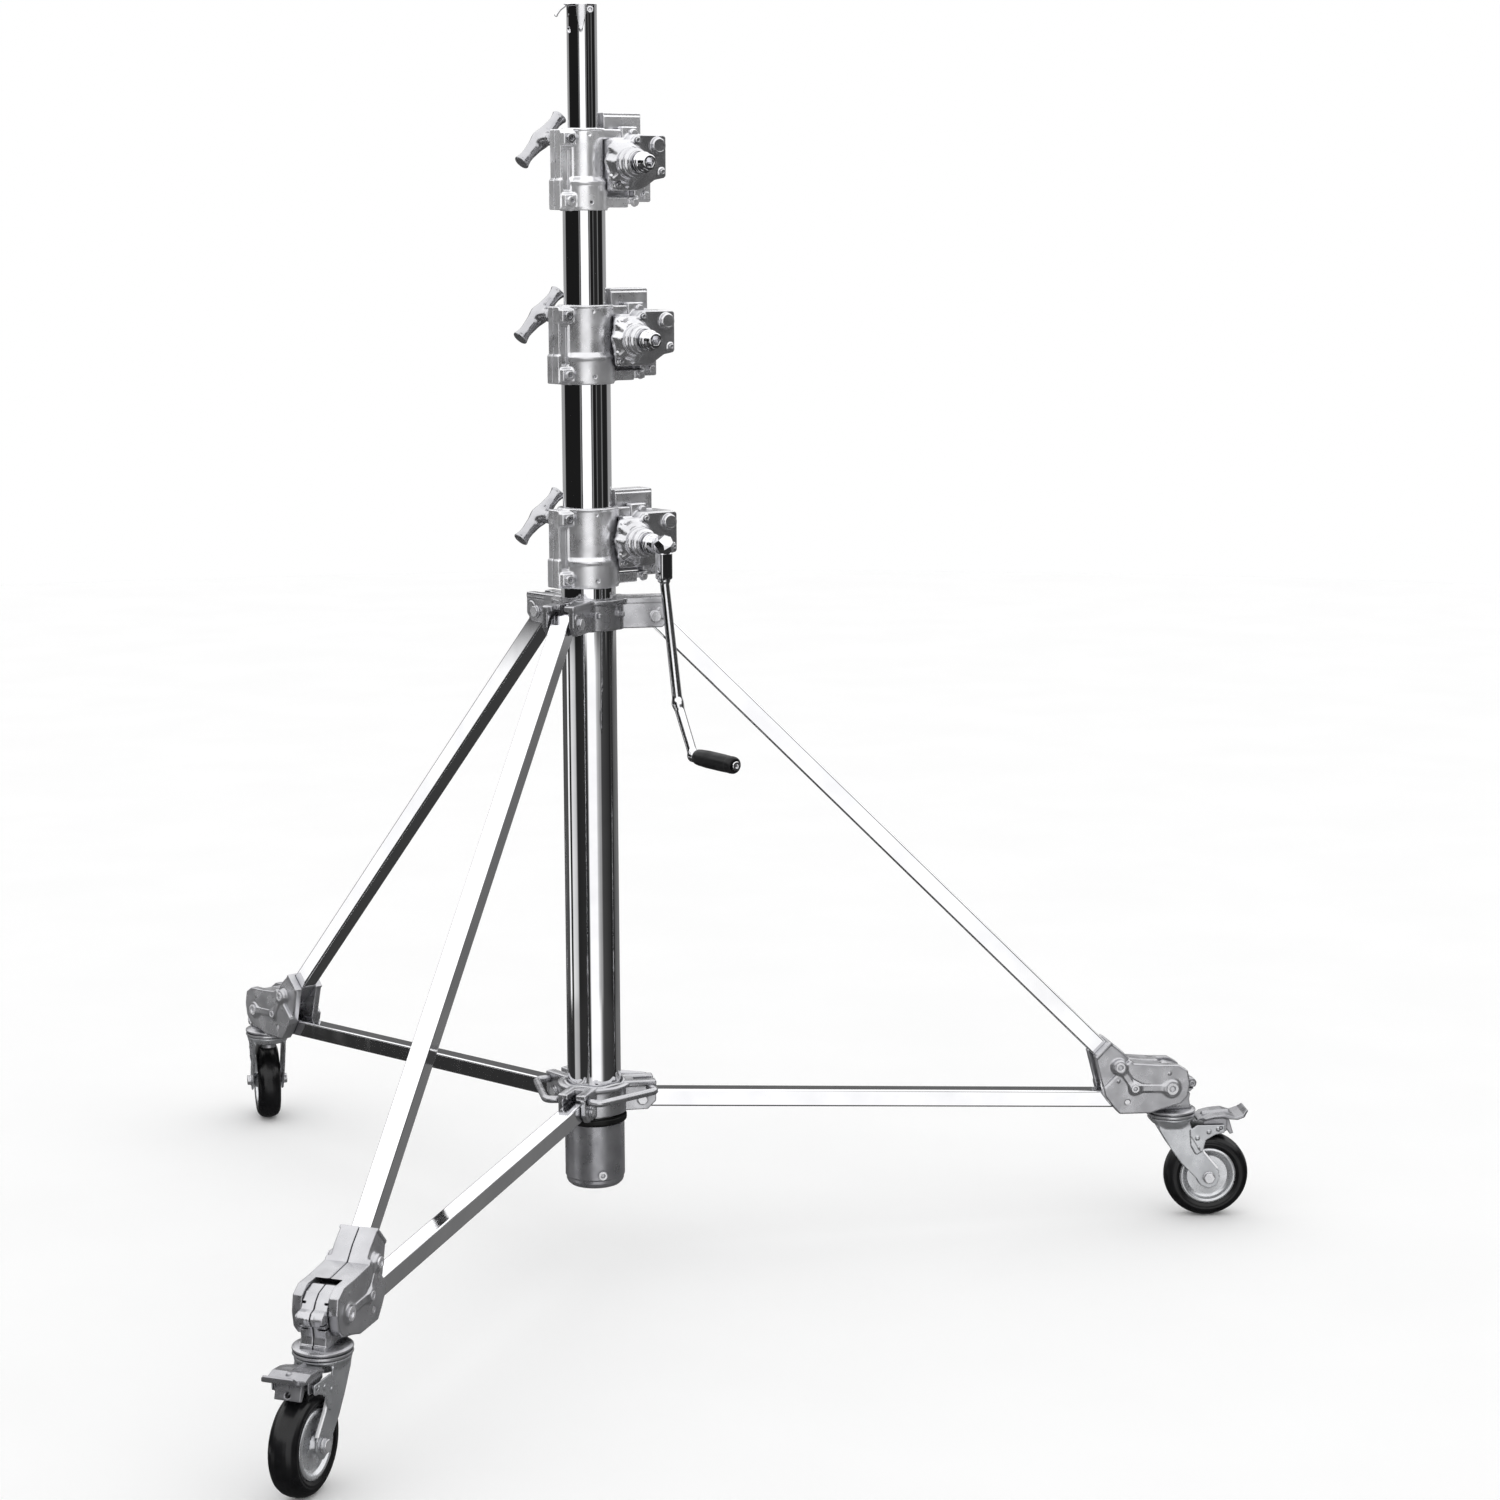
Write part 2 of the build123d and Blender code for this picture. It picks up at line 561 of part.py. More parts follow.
def knuckle_shells():
    """Two mirrored half castings that grip the strut and leave room for brace and block."""
    angle = strut_angle()
    body = side_plate(SHELL_OUTLINE, -SHELL_WIDTH, SHELL_WIDTH, 2.5)
    collar = [along(STRUT_FIX, angle, d, o) for d, o in ((-60, 40), (4, 40), (4, -40), (-60, -40))]
    for w0, w1 in ((-SHELL_WIDTH - 1, -MOUTH_WIDTH), (MOUTH_WIDTH, SHELL_WIDTH + 1)):
        body -= side_plate(collar, w0, w1)
    for w0, w1 in ((-SHELL_WIDTH - 2.2, -MOUTH_WIDTH), (MOUTH_WIDTH, SHELL_WIDTH + 2.2)):
        for (r, z), boss in ((STRUT_FIX, 10.5), (KNUCKLE_BOLT, 9.5), (BLOCK_PIVOT, 12.5)):
            body += cross_pin(r, z, boss, w0, w1)
        body += side_plate(rib(STRUT_FIX, KNUCKLE_BOLT, 4.5), w0, w1)
        body += side_plate(rib(KNUCKLE_BOLT, BLOCK_PIVOT, 4.5), w0, w1)
    half = STRUT_SIDE / 2 + 0.02
    mouth = [along(STRUT_FIX, angle, d, o) for d, o in ((-80, half), (12, half), (12, -half), (-80, -half))]
    body -= side_plate(mouth, -half, half)
    swing = [(700, 150), (700, 300), along(STRUT_FIX, angle, -60, -half), along(STRUT_FIX, angle, 6, -half)]
    swing += [(786, 203), (800.5, 192), (800.5, 150)]
    body -= side_plate(swing, -13.1, 13.1)
    body -= cross_pin(*OUTER_PIVOT, 16.5, -13.1, 13.1)
    body -= cross_pin(*BLOCK_PIVOT, 37.0, -17.3, 17.3)
    room = [(820.5, 198), BLOCK_PIVOT, (930, 240), (930, 120), (820.5, 120)]
    body -= side_plate(room, -17.3, 17.3)
    body -= block(700, 920, -0.35, 0.35, 100, 320)
    for pivot, radius in ((STRUT_FIX, 5.0), (KNUCKLE_BOLT, 4.0), (BLOCK_PIVOT, 6.0), (OUTER_PIVOT, 4.0)):
        body -= cross_pin(*pivot, radius, -40, 40)
    return body


def rib(start, end, half):
    """Four corners of a straight rib between two bosses."""
    angle = math.degrees(math.atan2(end[1] - start[1], end[0] - start[0]))
    length = math.dist(start, end)
    return [along(start, angle, d, o) for d, o in ((0, half), (length, half), (length, -half), (0, -half))]


def knuckle_bolts():
    """Bolts through both shells: strut bolt, body bolt, brace pivot and castor block pivot."""
    bolts = []
    for pivot, radius in ((STRUT_FIX, 5.0), (KNUCKLE_BOLT, 4.0), (BLOCK_PIVOT, 6.0)):
        reach = SHELL_WIDTH + 2.2
        bolt = cross_pin(*pivot, radius, -reach, reach)
        bolt += cross_pin(*pivot, radius * 1.45, -reach - 3, -reach)
        bolt += cross_pin(*pivot, radius * 1.45, reach, reach + 3)
        for face in (-reach - 4, reach + 1):
            bolt -= hexagon(*pivot, radius * 1.2, face, face + 3)
        bolts.append(bolt)
    bolts.append(cross_pin(*OUTER_PIVOT, 4.0, -SHELL_WIDTH + 0.5, SHELL_WIDTH - 0.5))
    return bolts


def caster_block():
    """Split clamp block: two halves with a jogged parting line, the upper race and the kingpin."""
    steps = [(825, 166), (823, 190), (825, 215), (836, 229), (852, 233.5), (868, 229), (877, 221)]
    steps += [(882, 213), (890, 211), (894.5, 204), (891, 196), (886, 192), (884, 180), (886, 166)]
    body = side_plate(steps, -16.9, 16.9, 1.5)
    body -= cross_pin(*BLOCK_PIVOT, 6.0 + PIN_CLEARANCE, -20, 20)
    body -= block(800, 900, -0.5, 0.5, RACE_Z, 250)
    pinch = cross_pin(*PINCH_BOLT, 2.5, -14, 16.9) + cross_pin(*PINCH_BOLT, 4.6, -16.9, -14)
    body -= pinch
    race = turned_profile([(0, 166), (27, 166), (34, 163.5), (36.5, 160), (36.5, RACE_Z + 2), (34.5, RACE_Z), (0, RACE_Z)])
    pin = turned_profile([(0, RACE_Z), (8, RACE_Z), (8, 137), (12, 137), (12, 132), (0, 132)])
    return body, pinch, Pos(SWIVEL_R, 0, 0) * (race + pin)


def fork():
    """Swivel fork: lower race and crown, two raked arms, brake bracket plates."""
    low = RACE_Z - 0.5
    crown = turned_profile([(0, low), (34.5, low), (34.5, low - 3), (30, low - 7), (27, low - 11), (0, low - 11)])
    body = crown - cyl(8 + PIN_CLEARANCE, 100, 200) - cyl(12.6, 100, 137.3)
    top = low - 5
    arm = [(-24, top), (24, top), (29, 132), (46, 100), (TRAIL + 15, 72), (TRAIL + 16, WHEEL_R - 2)]
    arm += [(TRAIL + 11, WHEEL_R - 13), (TRAIL, WHEEL_R - 17), (TRAIL - 12, WHEEL_R - 12)]
    arm += [(TRAIL - 20, WHEEL_R), (12, 85), (-3, 106), (-20, 134)]
    bracket = [(26, 112), (24, 136), (34, 143), (76, 143), (76, 131), (62, 128), (48, 120), (44, 104), (34, 98)]
    for side in (-1, 1):
        w0, w1 = sorted((side * FORK_GAP, side * (FORK_GAP + FORK_PLATE)))
        body += side_plate(arm, w0, w1, 1.0)
        w2, w3 = sorted((side * (FORK_GAP + FORK_PLATE), side * (FORK_GAP + FORK_PLATE + 2)))
        body += side_plate(bracket, w2, w3, 1.0)
    body += block(-24, 24, -FORK_GAP - 1, FORK_GAP + 1, low - 11, low - 8) - cyl(12.6, 100, 137.3) - cyl(8.06, 100, 200)
    for side in (-1, 1):
        body -= cross_pin(TRAIL, WHEEL_R, 5.0, side * 30 - 8, side * 30 + 8)
        body -= cross_pin(70, 138, 2.5, side * 30 - 8, side * 30 + 8)
    return body


def brake_pedal():
    """Foot pedal over the wheel: pressed top with side cheeks, curled toe and brake shoe."""
    outline = [(36, 150), (60, 156), (78, 157.5), (92, 153), (104, 157), (110, 163), (112.5, 161)]
    outline += [(107, 153), (96, 149), (84, 150), (74, 153), (60, 152.5), (36, 147)]
    body = side_plate(outline, -25, 25)
    cheek = [(40, 149), (80, 153), (80, 132), (66, 132), (56, 138), (40, 143)]
    for w0, w1 in ((-22.6, -20.4), (20.4, 22.6)):
        body += side_plate(cheek, w0, w1)
    shoe = [(79, 152), (83, 152), (91, 127), (86, 125.5), (79, 136)]
    body += side_plate(shoe, -17, 17)
    body += cross_pin(70, 138, 2.45, -28.4, 28.4)
    return body


def tyre():
    """Solid rubber tyre with a rounded tread."""
    half = TYRE_WIDTH / 2
    profile = [(RIM_R - 2.0, -half + 3), (RIM_R + 2.0, -half + 1.5), (RIM_R + 8, -half), (54, -half + 1)]
    profile += [(58.5, -half + 4), (61.5, -half + 9), (WHEEL_R, -half + 14)]
    mirror_side = [(radius, -height) for radius, height in reversed(profile)]
    return wheel_place(turned_profile(profile + mirror_side))


def wheel_hub():
    """Pressed wheel centre with dished faces and a bearing boss."""
    bore = 6.0 + PIN_CLEARANCE
    profile = [(bore, -21.5), (10, -21.5), (12, -19), (16, -12.5), (28, -11), (36, -14.5), (RIM_R - 2.05, -16.5)]
    mirror_side = [(radius, -height) for radius, height in reversed(profile)]
    return wheel_place(turned_profile(profile + mirror_side))


def axle():
    """Wheel bolt with spacers, head and nut, fixed in the fork."""
    body = cross_pin(TRAIL, WHEEL_R, 6.0, -FORK_GAP, FORK_GAP)
    body += cross_pin(TRAIL, WHEEL_R, 5.0, -30, 30)
    for w0 in (-FORK_GAP - FORK_PLATE - 6.5, FORK_GAP + FORK_PLATE):
        body += hexagon(TRAIL, WHEEL_R, 15.0, w0, w0 + 6.5)
    return body


def wheel_place(shape):
    """Lay a turned wheel part on the axle."""
    return Pos(TRAIL, 0, WHEEL_R) * Rot(90, 0, 0) * shape


def at_caster(shape, leg):
    """Move a castor piece from its own frame (swivel axis at x 0) to its leg and trail direction."""
    turn = math.radians(LEG_AZIMUTHS[leg])
    centre = (SWIVEL_R * math.cos(turn), SWIVEL_R * math.sin(turn), 0)
    return Pos(*centre) * Rot(0, 0, CASTER_TRAILS[leg]) * shape


# ---------------------------------------------------------------- build all nodes
def build_mast():
    """Fixed column, risers, collars and gearboxes."""
    save("outer_tube", outer_tube())
    save("foot_sleeve", foot_sleeve())
    save("foot_bolt", foot_bolt())
    save("bumper_ring", bumper())
    save("leg_bracket", leg_bracket())
    save("bracket_bolts", *collar_bolts(UPPER_PIVOT, 23.0, 5.0))
    save("lower_collar", lower_collar())
    save("lower_collar_bolts", *collar_bolts(LOWER_PIVOT, 20.6, 4.5))
    for stage in range(3):
        number = stage + 1
        save(f"riser_{number}", *riser(stage))
        save(f"clamp_collar_{number}", *collar(stage))
        save(f"gearbox_housing_{number}", *gearbox_housing(stage))
        save(f"gearbox_cover_{number}", *gearbox_cover(stage))
        save(f"drive_shaft_{number}", drive_shaft(stage))
        save(f"tee_handle_{number}", tee_handle(stage))
    arm, end = crank()
    save("crank_arm", arm)
    save("crank_grip", crank_grip(end))
    save("top_socket", top_socket())
    save("spring_latch", spring_latch())


def build_leg(leg):
    """One folding leg with its castor."""
    number = leg + 1
    azimuth = LEG_AZIMUTHS[leg]
    save(f"strut_{number}", at_azimuth(strut(), azimuth))
    save(f"brace_{number}", at_azimuth(brace(), azimuth))
    save(f"knuckle_shells_{number}", at_azimuth(knuckle_shells(), azimuth))
    save(f"knuckle_bolts_{number}", *[at_azimuth(bolt, azimuth) for bolt in knuckle_bolts()])
    save(f"caster_block_{number}", *[at_azimuth(piece, azimuth) for piece in caster_block()])
    save(f"fork_{number}", at_caster(fork(), leg))
    save(f"axle_{number}", at_caster(axle(), leg))
    save(f"brake_pedal_{number}", at_caster(brake_pedal(), leg))
    save(f"tyre_{number}", at_caster(tyre(), leg))
    save(f"wheel_hub_{number}", at_caster(wheel_hub(), leg))


os.makedirs("parts", exist_ok=True)
build_mast()
for leg_index in range(3):
    build_leg(leg_index)
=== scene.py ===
import json
import math

import bmesh
import bpy
import numpy as np
from mathutils import Matrix, Vector


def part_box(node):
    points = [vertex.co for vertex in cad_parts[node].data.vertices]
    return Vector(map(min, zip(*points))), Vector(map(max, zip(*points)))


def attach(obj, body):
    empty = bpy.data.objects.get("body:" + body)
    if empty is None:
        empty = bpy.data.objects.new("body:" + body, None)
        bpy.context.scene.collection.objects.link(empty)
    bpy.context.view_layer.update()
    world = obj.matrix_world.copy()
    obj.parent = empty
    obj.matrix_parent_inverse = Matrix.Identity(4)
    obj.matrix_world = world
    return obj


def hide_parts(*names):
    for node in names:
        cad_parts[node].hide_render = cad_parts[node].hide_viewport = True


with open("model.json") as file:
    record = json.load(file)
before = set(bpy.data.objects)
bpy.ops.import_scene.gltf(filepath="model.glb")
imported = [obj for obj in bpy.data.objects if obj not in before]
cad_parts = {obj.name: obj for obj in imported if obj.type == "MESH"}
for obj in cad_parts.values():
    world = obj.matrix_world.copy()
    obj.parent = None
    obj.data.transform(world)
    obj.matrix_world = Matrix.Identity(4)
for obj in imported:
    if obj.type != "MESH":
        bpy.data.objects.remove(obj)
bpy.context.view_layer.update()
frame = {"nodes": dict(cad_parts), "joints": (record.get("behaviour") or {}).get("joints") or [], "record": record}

COARSE = 1.0
MM = 1000                               # millimetres in a metre
AXIS = -60.0                            # stands for the axis itself in a turned profile

# ---------------------------------------------------------------- sizes, in millimetres
JOINTS = {joint["name"]: joint for joint in frame["joints"]}
SLOTS = {part["node"]: part["material_slot"] for part in frame["record"]["subparts"]}


def joint_mm(name):
    """Position of a joint in millimetres."""
    return [MM * value for value in JOINTS[name]["pos_m"]]


def top_of(node):
    """Highest point of a CAD node in millimetres."""
    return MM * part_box(node)[1][2]


def foot_of(node):
    """Lowest point of a CAD node in millimetres."""
    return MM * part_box(node)[0][2]


shaft_axis = JOINTS["drive_shaft_1_spin"]["axis"]
GEAR_AZIMUTH = math.degrees(math.atan2(-shaft_axis[0], shaft_axis[1]))
LEG_AZIMUTHS = (0.0, 120.0, 240.0)
TUBE_R = (38.0, 33.8, 29.1, 20.5)       # outer tube and the three risers
TUBE_WALL = (2.5, 2.4, 2.4, 2.5)
COLLAR_LENGTH = (109.8, 107.0, 109.5)
COLLAR_STEP = (71.3, 68.6, 69.6)        # from the top down to the ledge
COLLAR_R = ((40.9, 42.6), (37.0, 39.4), (28.6, 32.6))
SCREW_OFFSET = (45.0, 41.0, 34.5)
FLANGE_REACH = 13.0
HALF_SPLIT = 0.8                        # half of a clamp collar's slot
SPLIT_HALF = 0.4                        # half of the gap between the bracket's castings
TEE_DROP = 14.0
TEE_OFFSET = 53.0
TEE_HALF = 45.0
TEE_TILT = -45.0
SHAFT_DROP = 46.5
SHAFT_BORE = 12.0
COVER_REACH = ((22.0, 75.0), (23.0, 75.0), (18.0, 70.0))
COVER_BACK = -43.0
COVER_FRONT = -48.0
NOSE_TIP = -112.0
PINION_TEETH = (14, 18, 20)
GEAR_MODULE = 1.5
CRANK_DROP = 282.0
GRIP_LENGTH = 88.0
CATCH_AZIMUTH = -98.0                   # catch plate on the front of the top tube
UPPER_PIVOT = (90.5, 920.0)
LOWER_PIVOT = (66.0, 228.0)
OUTER_PIVOT = (784.5, 184.0)
STRUT_FIX = (771.7, 237.9)
STRUT_HALF = 13.0
KNUCKLE_BOLT = (794.8, 204.7)
BLOCK_PIVOT = (851.9, 201.4)
PINCH_BOLT = (887.0, 203.5)
SHELL_HALF = 30.0
MOUTH_HALF = 24.5
SWIVEL_R = 861.0
TRAIL = 54.0
WHEEL_R = 62.5
RACE_Z = 153.0
FORK_HALF = 23.0
FORK_PLATE = 3.0
PEDAL_PIN = (70.0, 138.0)
BRACKET_HUB, BRACKET_REACH = 47.5, 112.0
BRACKET_CHEEK = (15.4, 23.0)            # inner and outer face, from a leg's plane
SLIDER_HUB, SLIDER_REACH = 47.0, 86.0
SLIDER_CHEEK = (13.2, 20.6)
LOOP_Z, LOOP_R, LOOP_BEND = 245.0, 5.2, 11.0
LOOP_KNOTS = ((74, 14), (84, 40))       # along and across a leg's plane
UPPER_BOLT_R, LOWER_BOLT_R = 5.0, 4.5
KNUCKLE_BOLTS = ((STRUT_FIX, 5.0), (KNUCKLE_BOLT, 4.0), (BLOCK_PIVOT, 6.0))
PIN_R = 4.0
BOLT_PLAY = 0.02
STRUT_ROOM = 13.1                       # half width of the slots that clear the members
BLOCK_ROOM = 17.3
BLOCK_HALF = 16.9
FOOT_BOLT_HEAD = 0.0134                 # width of the foot bolt's head, in metres
STAGE_BODY = ("mast", "riser_stage_1", "riser_stage_2")


def stage_n(stage):
    """Distance of a stage's drive shaft from the mast axis."""
    x, y, _ = joint_mm(f"drive_shaft_{stage + 1}_spin")
    return math.hypot(x, y)


def collar_top(stage):
    """Height of a clamp collar's top face."""
    return joint_mm(f"tee_handle_{stage + 1}_turn")[2] + TEE_DROP


def turn(azimuth, height=0.0):
    """Matrix from a drawing plane, in mm, to its azimuth on the mast."""
    return Matrix.Rotation(math.radians(azimuth), 4, "Z") @ Matrix.Translation((0, 0, height))


def caster_matrix(leg):
    """Matrix from a castor's own frame, in mm, to its place and trail direction."""
    centre = joint_mm(f"caster_{leg + 1}_swivel")
    axle = JOINTS[f"wheel_{leg + 1}_spin"]["axis"]
    trail = math.atan2(-axle[0], axle[1])
    return Matrix.Translation((centre[0], centre[1], 0)) @ Matrix.Rotation(trail, 4, "Z")


# ---------------------------------------------------------------- distance fields
def rounded(a, b, edge):
    """Corner between two distances, rounded by edge."""
    a = a + edge
    b = b + edge
    inner = np.minimum(np.maximum(a, b), 0)
    return inner + np.hypot(np.maximum(a, 0), np.maximum(b, 0)) - edge


def span(value, low, high):
    """Distance outside an interval."""
    return np.abs(value - (low + high) / 2) - (high - low) / 2


def rod(axis, centre, radius, low, high, edge=0.8):
    """Cylinder along one axis, through centre in the other two."""
    u, v = [index for index in range(3) if index != axis]

    def field(p):
        side = np.hypot(p[u] - centre[0], p[v] - centre[1]) - radius
        return rounded(side, span(p[axis], low, high), edge)
    return field


def hexagon(centre, across, low, high, edge=0.5):
    """Hexagonal prism along y."""
    def field(p):
        x = np.abs(p[0] - centre[0])
        z = np.abs(p[2] - centre[1])
        side = np.maximum(z, x * math.sqrt(0.75) + z * 0.5) - across / 2
        return rounded(side, span(p[1], low, high), edge)
    return field


def brick(low, high, edge=1.0):
    """Box with rounded edges."""
    def field(p):
        q = [span(p[index], low[index], high[index]) + edge for index in range(3)]
        outer = np.sqrt(sum(np.maximum(value, 0) ** 2 for value in q))
        return outer + np.minimum(np.maximum(q[0], np.maximum(q[1], q[2])), 0) - edge
    return field


def outline_distance(points, x, z):
    """Signed distance to a closed outline, negative inside."""
    gap = None
    side = 1.0
    for (ax, az), (bx, bz) in zip(points, points[-1:] + points[:-1]):
        ex, ez = bx - ax, bz - az
        wx, wz = x - ax, z - az
        nearest = np.clip((wx * ex + wz * ez) / (ex * ex + ez * ez), 0, 1)
        near = (wx - ex * nearest) ** 2 + (wz - ez * nearest) ** 2
        gap = near if gap is None else np.minimum(gap, near)
        above, below, left = z >= az, z < bz, ex * wz > ez * wx
        crosses = (above & below & left) | ~(above | below | left)
        side = np.where(crosses, -side, side)
    return side * np.sqrt(gap)


def heading(angle):
    """Cosine and sine of an angle in degrees."""
    return math.cos(math.radians(angle)), math.sin(math.radians(angle))


def area(points):
    """Twice the signed area of a closed outline."""
    return sum(a[0] * b[1] - b[0] * a[1] for a, b in zip(points, points[1:] + points[:1]))


def neighbours(points):
    """Each point of a closed outline between the points before and after it."""
    return zip(points[-1:] + points[:-1], points, points[1:] + points[:1])


def curve(start, corner, end, t):
    """Point at t, from 0 to 1, on the curve that rounds a corner off."""
    return start * (1 - t) ** 2 + corner * (2 * t * (1 - t)) + end * t * t


def inset(points, distance):
    """The outline moved inwards, so that rounding it out again rounds its corners."""
    if area(points) < 0:
        distance = -distance
    moved = []
    for before, here, after in neighbours(points):
        first = Vector(here) - Vector(before)
        second = Vector(after) - Vector(here)
        a = Vector((-first.y, first.x)).normalized()
        b = Vector((-second.y, second.x)).normalized()
        bisector = (a + b).normalized()
        shift = bisector * (distance / max(bisector.dot(a), 0.35))
        moved.append((here[0] + shift.x, here[1] + shift.y))
    return moved


def plate(points, low, high, edge=0.8, corner=0.0):
    """Outline in x and z between two y values, with rounded edges and corners."""
    points = list(points)
    path = inset(points, corner) if corner else points

    def field(p):
        side = outline_distance(path, p[0], p[2]) - corner
        return rounded(side, span(p[1], low, high), edge)
    return field


def turned(axis, centre, profile, edge=0.5):
    """Solid of revolution of a (radius, height) outline, softened at its corners."""
    u, v = [index for index in range(3) if index != axis]
    path = inset([(AXIS if radius == 0 else radius, height) for radius, height in profile], edge)

    def field(p):
        radius = np.hypot(p[u] - centre[0], p[v] - centre[1])
        return outline_distance(path, radius, p[axis]) - edge
    return field


def limb(start, end, r0, r1=None):
    """Round bar with ball ends, tapering from r0 to r1."""
    r1 = r0 if r1 is None else r1
    step = [b - a for a, b in zip(start, end)]
    size = sum(value * value for value in step)

    def field(p):
        w = [p[index] - start[index] for index in range(3)]
        t = np.clip(sum(w[index] * step[index] for index in range(3)) / size, 0, 1)
        gap = sum((w[index] - step[index] * t) ** 2 for index in range(3))
        return np.sqrt(gap) - (r0 + (r1 - r0) * t)
    return field


def join(k, *parts):
    """Union with a fillet of about k."""
    def field(p):
        d = parts[0](p)
        for part in parts[1:]:
            e = part(p)
            blend = np.maximum(k - np.abs(d - e), 0) / k if k else 0
            d = np.minimum(d, e) - blend * blend * k / 4
        return d
    return field


def less(k, body, *tools):
    """Body with tools cut away, the cut's rim rounded by about k."""
    def field(p):
        d = body(p)
        for tool in tools:
            e = -tool(p)
            blend = np.maximum(k - np.abs(d - e), 0) / k if k else 0
            d = np.maximum(d, e) + blend * blend * k / 4
        return d
    return field


def spun(azimuth, part):
    """The same field turned about the z axis."""
    c, s = heading(azimuth)

    def field(p):
        return part((p[0] * c + p[1] * s, p[1] * c - p[0] * s, p[2]))
    return field


def tilted(centre, angle, part):
    """The same field turned in the x, z plane about a centre, and drawn from that centre."""
    c, s = heading(angle)

    def field(p):
        x, z = p[0] - centre[0], p[2] - centre[1]
        return part((x * c + z * s, p[1], z * c - x * s))
    return field


def both_sides(part):
    """The field mirrored over the plane y = 0."""
    return lambda p: part((p[0], np.abs(p[1]), p[2]))


# ---------------------------------------------------------------- meshes: (points, faces)
def sample(values, points):
    """Values of a grid at points given in grid steps."""
    base = np.clip(points.astype(int), 0, np.array(values.shape) - 2)
    f = points - base
    total = 0
    for dx in (0, 1):
        for dy in (0, 1):
            for dz in (0, 1):
                share = (abs(1 - dx - f[:, 0]) * abs(1 - dy - f[:, 1]) * abs(1 - dz - f[:, 2]))
                total = total + share * values[base[:, 0] + dx, base[:, 1] + dy, base[:, 2] + dz]
    return total


def settle(values, points):
    """Draws points onto the surface where the values are zero."""
    for _ in range(2):
        here = sample(values, points)
        slope = np.stack([
            sample(values, points + offset) - sample(values, points - offset)
            for offset in np.eye(3) * 0.5
        ], axis=1)
        size = np.maximum((slope ** 2).sum(axis=1), 0.05)
        move = slope * (here / size)[:, None]
        points = points - np.clip(move, -0.5, 0.5)
    return points


def surface(field, low, high, step):
    """Surface nets: one point in each grid cell that the surface crosses, joined by quads."""
    step *= COARSE
    axes = [np.arange(a - 2 * step, b + 3 * step, step, dtype=np.float32) for a, b in zip(low, high)]
    grid = (axes[0][:, None, None], axes[1][None, :, None], axes[2][None, None, :])
    values = np.array(np.broadcast_to(field(grid), [len(a) for a in axes]), dtype=np.float32)
    for axis in range(3):
        edges = [slice(None)] * 3
        for end in (0, -1):
            edges[axis] = end
            values[tuple(edges)] = step
    inside = values < 0
    count = sum(
        inside[dx:inside.shape[0] - 1 + dx, dy:inside.shape[1] - 1 + dy,
               dz:inside.shape[2] - 1 + dz].astype(int)
        for dx in (0, 1) for dy in (0, 1) for dz in (0, 1)
    )
    active = (count > 0) & (count < 8)
    number = np.full(active.shape, -1, dtype=np.int64)
    size = int(active.sum())
    number[active] = np.arange(size)
    total = np.zeros((size, 3))
    hits = np.zeros(size)
    quads = []
    for axis in range(3):
        here = [slice(None)] * 3
        there = [slice(None)] * 3
        here[axis] = slice(0, -1)
        there[axis] = slice(1, None)
        a, b = values[tuple(here)], values[tuple(there)]
        found = np.nonzero((a < 0) != (b < 0))
        first, second = a[found], b[found]
        place = np.stack(found, axis=1).astype(float)
        place[:, axis] += first / (first - second)
        u, v = (axis + 1) % 3, (axis + 2) % 3
        ring = []
        for du, dv in ((0, 0), (-1, 0), (-1, -1), (0, -1)):
            cell = list(found)
            cell[u] = cell[u] + du
            cell[v] = cell[v] + dv
            index = number[tuple(cell)]
            for k in range(3):
                total[:, k] += np.bincount(index, place[:, k], size)
            hits += np.bincount(index, minlength=size)
            ring.append(index)
        quad = np.stack(ring, axis=1)
        quads.append(np.where((first < 0)[:, None], quad, quad[:, ::-1]))
    points = settle(values, total / hits[:, None])
    return points * step + [a[0] for a in axes], np.concatenate(quads)


def thin(mesh, keep):
    """Fewer faces, with the shape kept."""
    data = bpy.data.meshes.new("thin")
    data.from_pydata(mesh[0].tolist(), [], mesh[1].tolist())
    holder = bpy.data.objects.new("thin", data)
    bpy.context.scene.collection.objects.link(holder)
    modifier = holder.modifiers.new("thin", "DECIMATE")
    modifier.ratio = keep
    made = holder.evaluated_get(bpy.context.evaluated_depsgraph_get()).to_mesh()
    points = np.empty(len(made.vertices) * 3)
    made.vertices.foreach_get("co", points)
    faces = [list(polygon.vertices) for polygon in made.polygons]
    bpy.data.objects.remove(holder)
    bpy.data.meshes.remove(data)
    return points.reshape(-1, 3), faces


def cast(field, low, high, step, keep=0.3):
    """Mesh of a field inside a box, with keep of its faces."""
    return thin(surface(field, low, high, step), keep)


def soften(profile, radius, arc=4):
    """Profile with each corner away from the axis rounded by a small arc."""
    out = []
    for before, here, after in neighbours(profile):
        a, h, b = Vector(before), Vector(here), Vector(after)
        reach = min(radius, (a - h).length * 0.45, (b - h).length * 0.45)
        if here[0] <= 0 or reach < 0.01:
            out.append(here)
            continue
        start, end = h + (a - h).normalized() * reach, h + (b - h).normalized() * reach
        for index in range(arc + 1):
            t = index / arc
            point = curve(start, h, end, t)
            out.append((point.x, point.y))
    return out


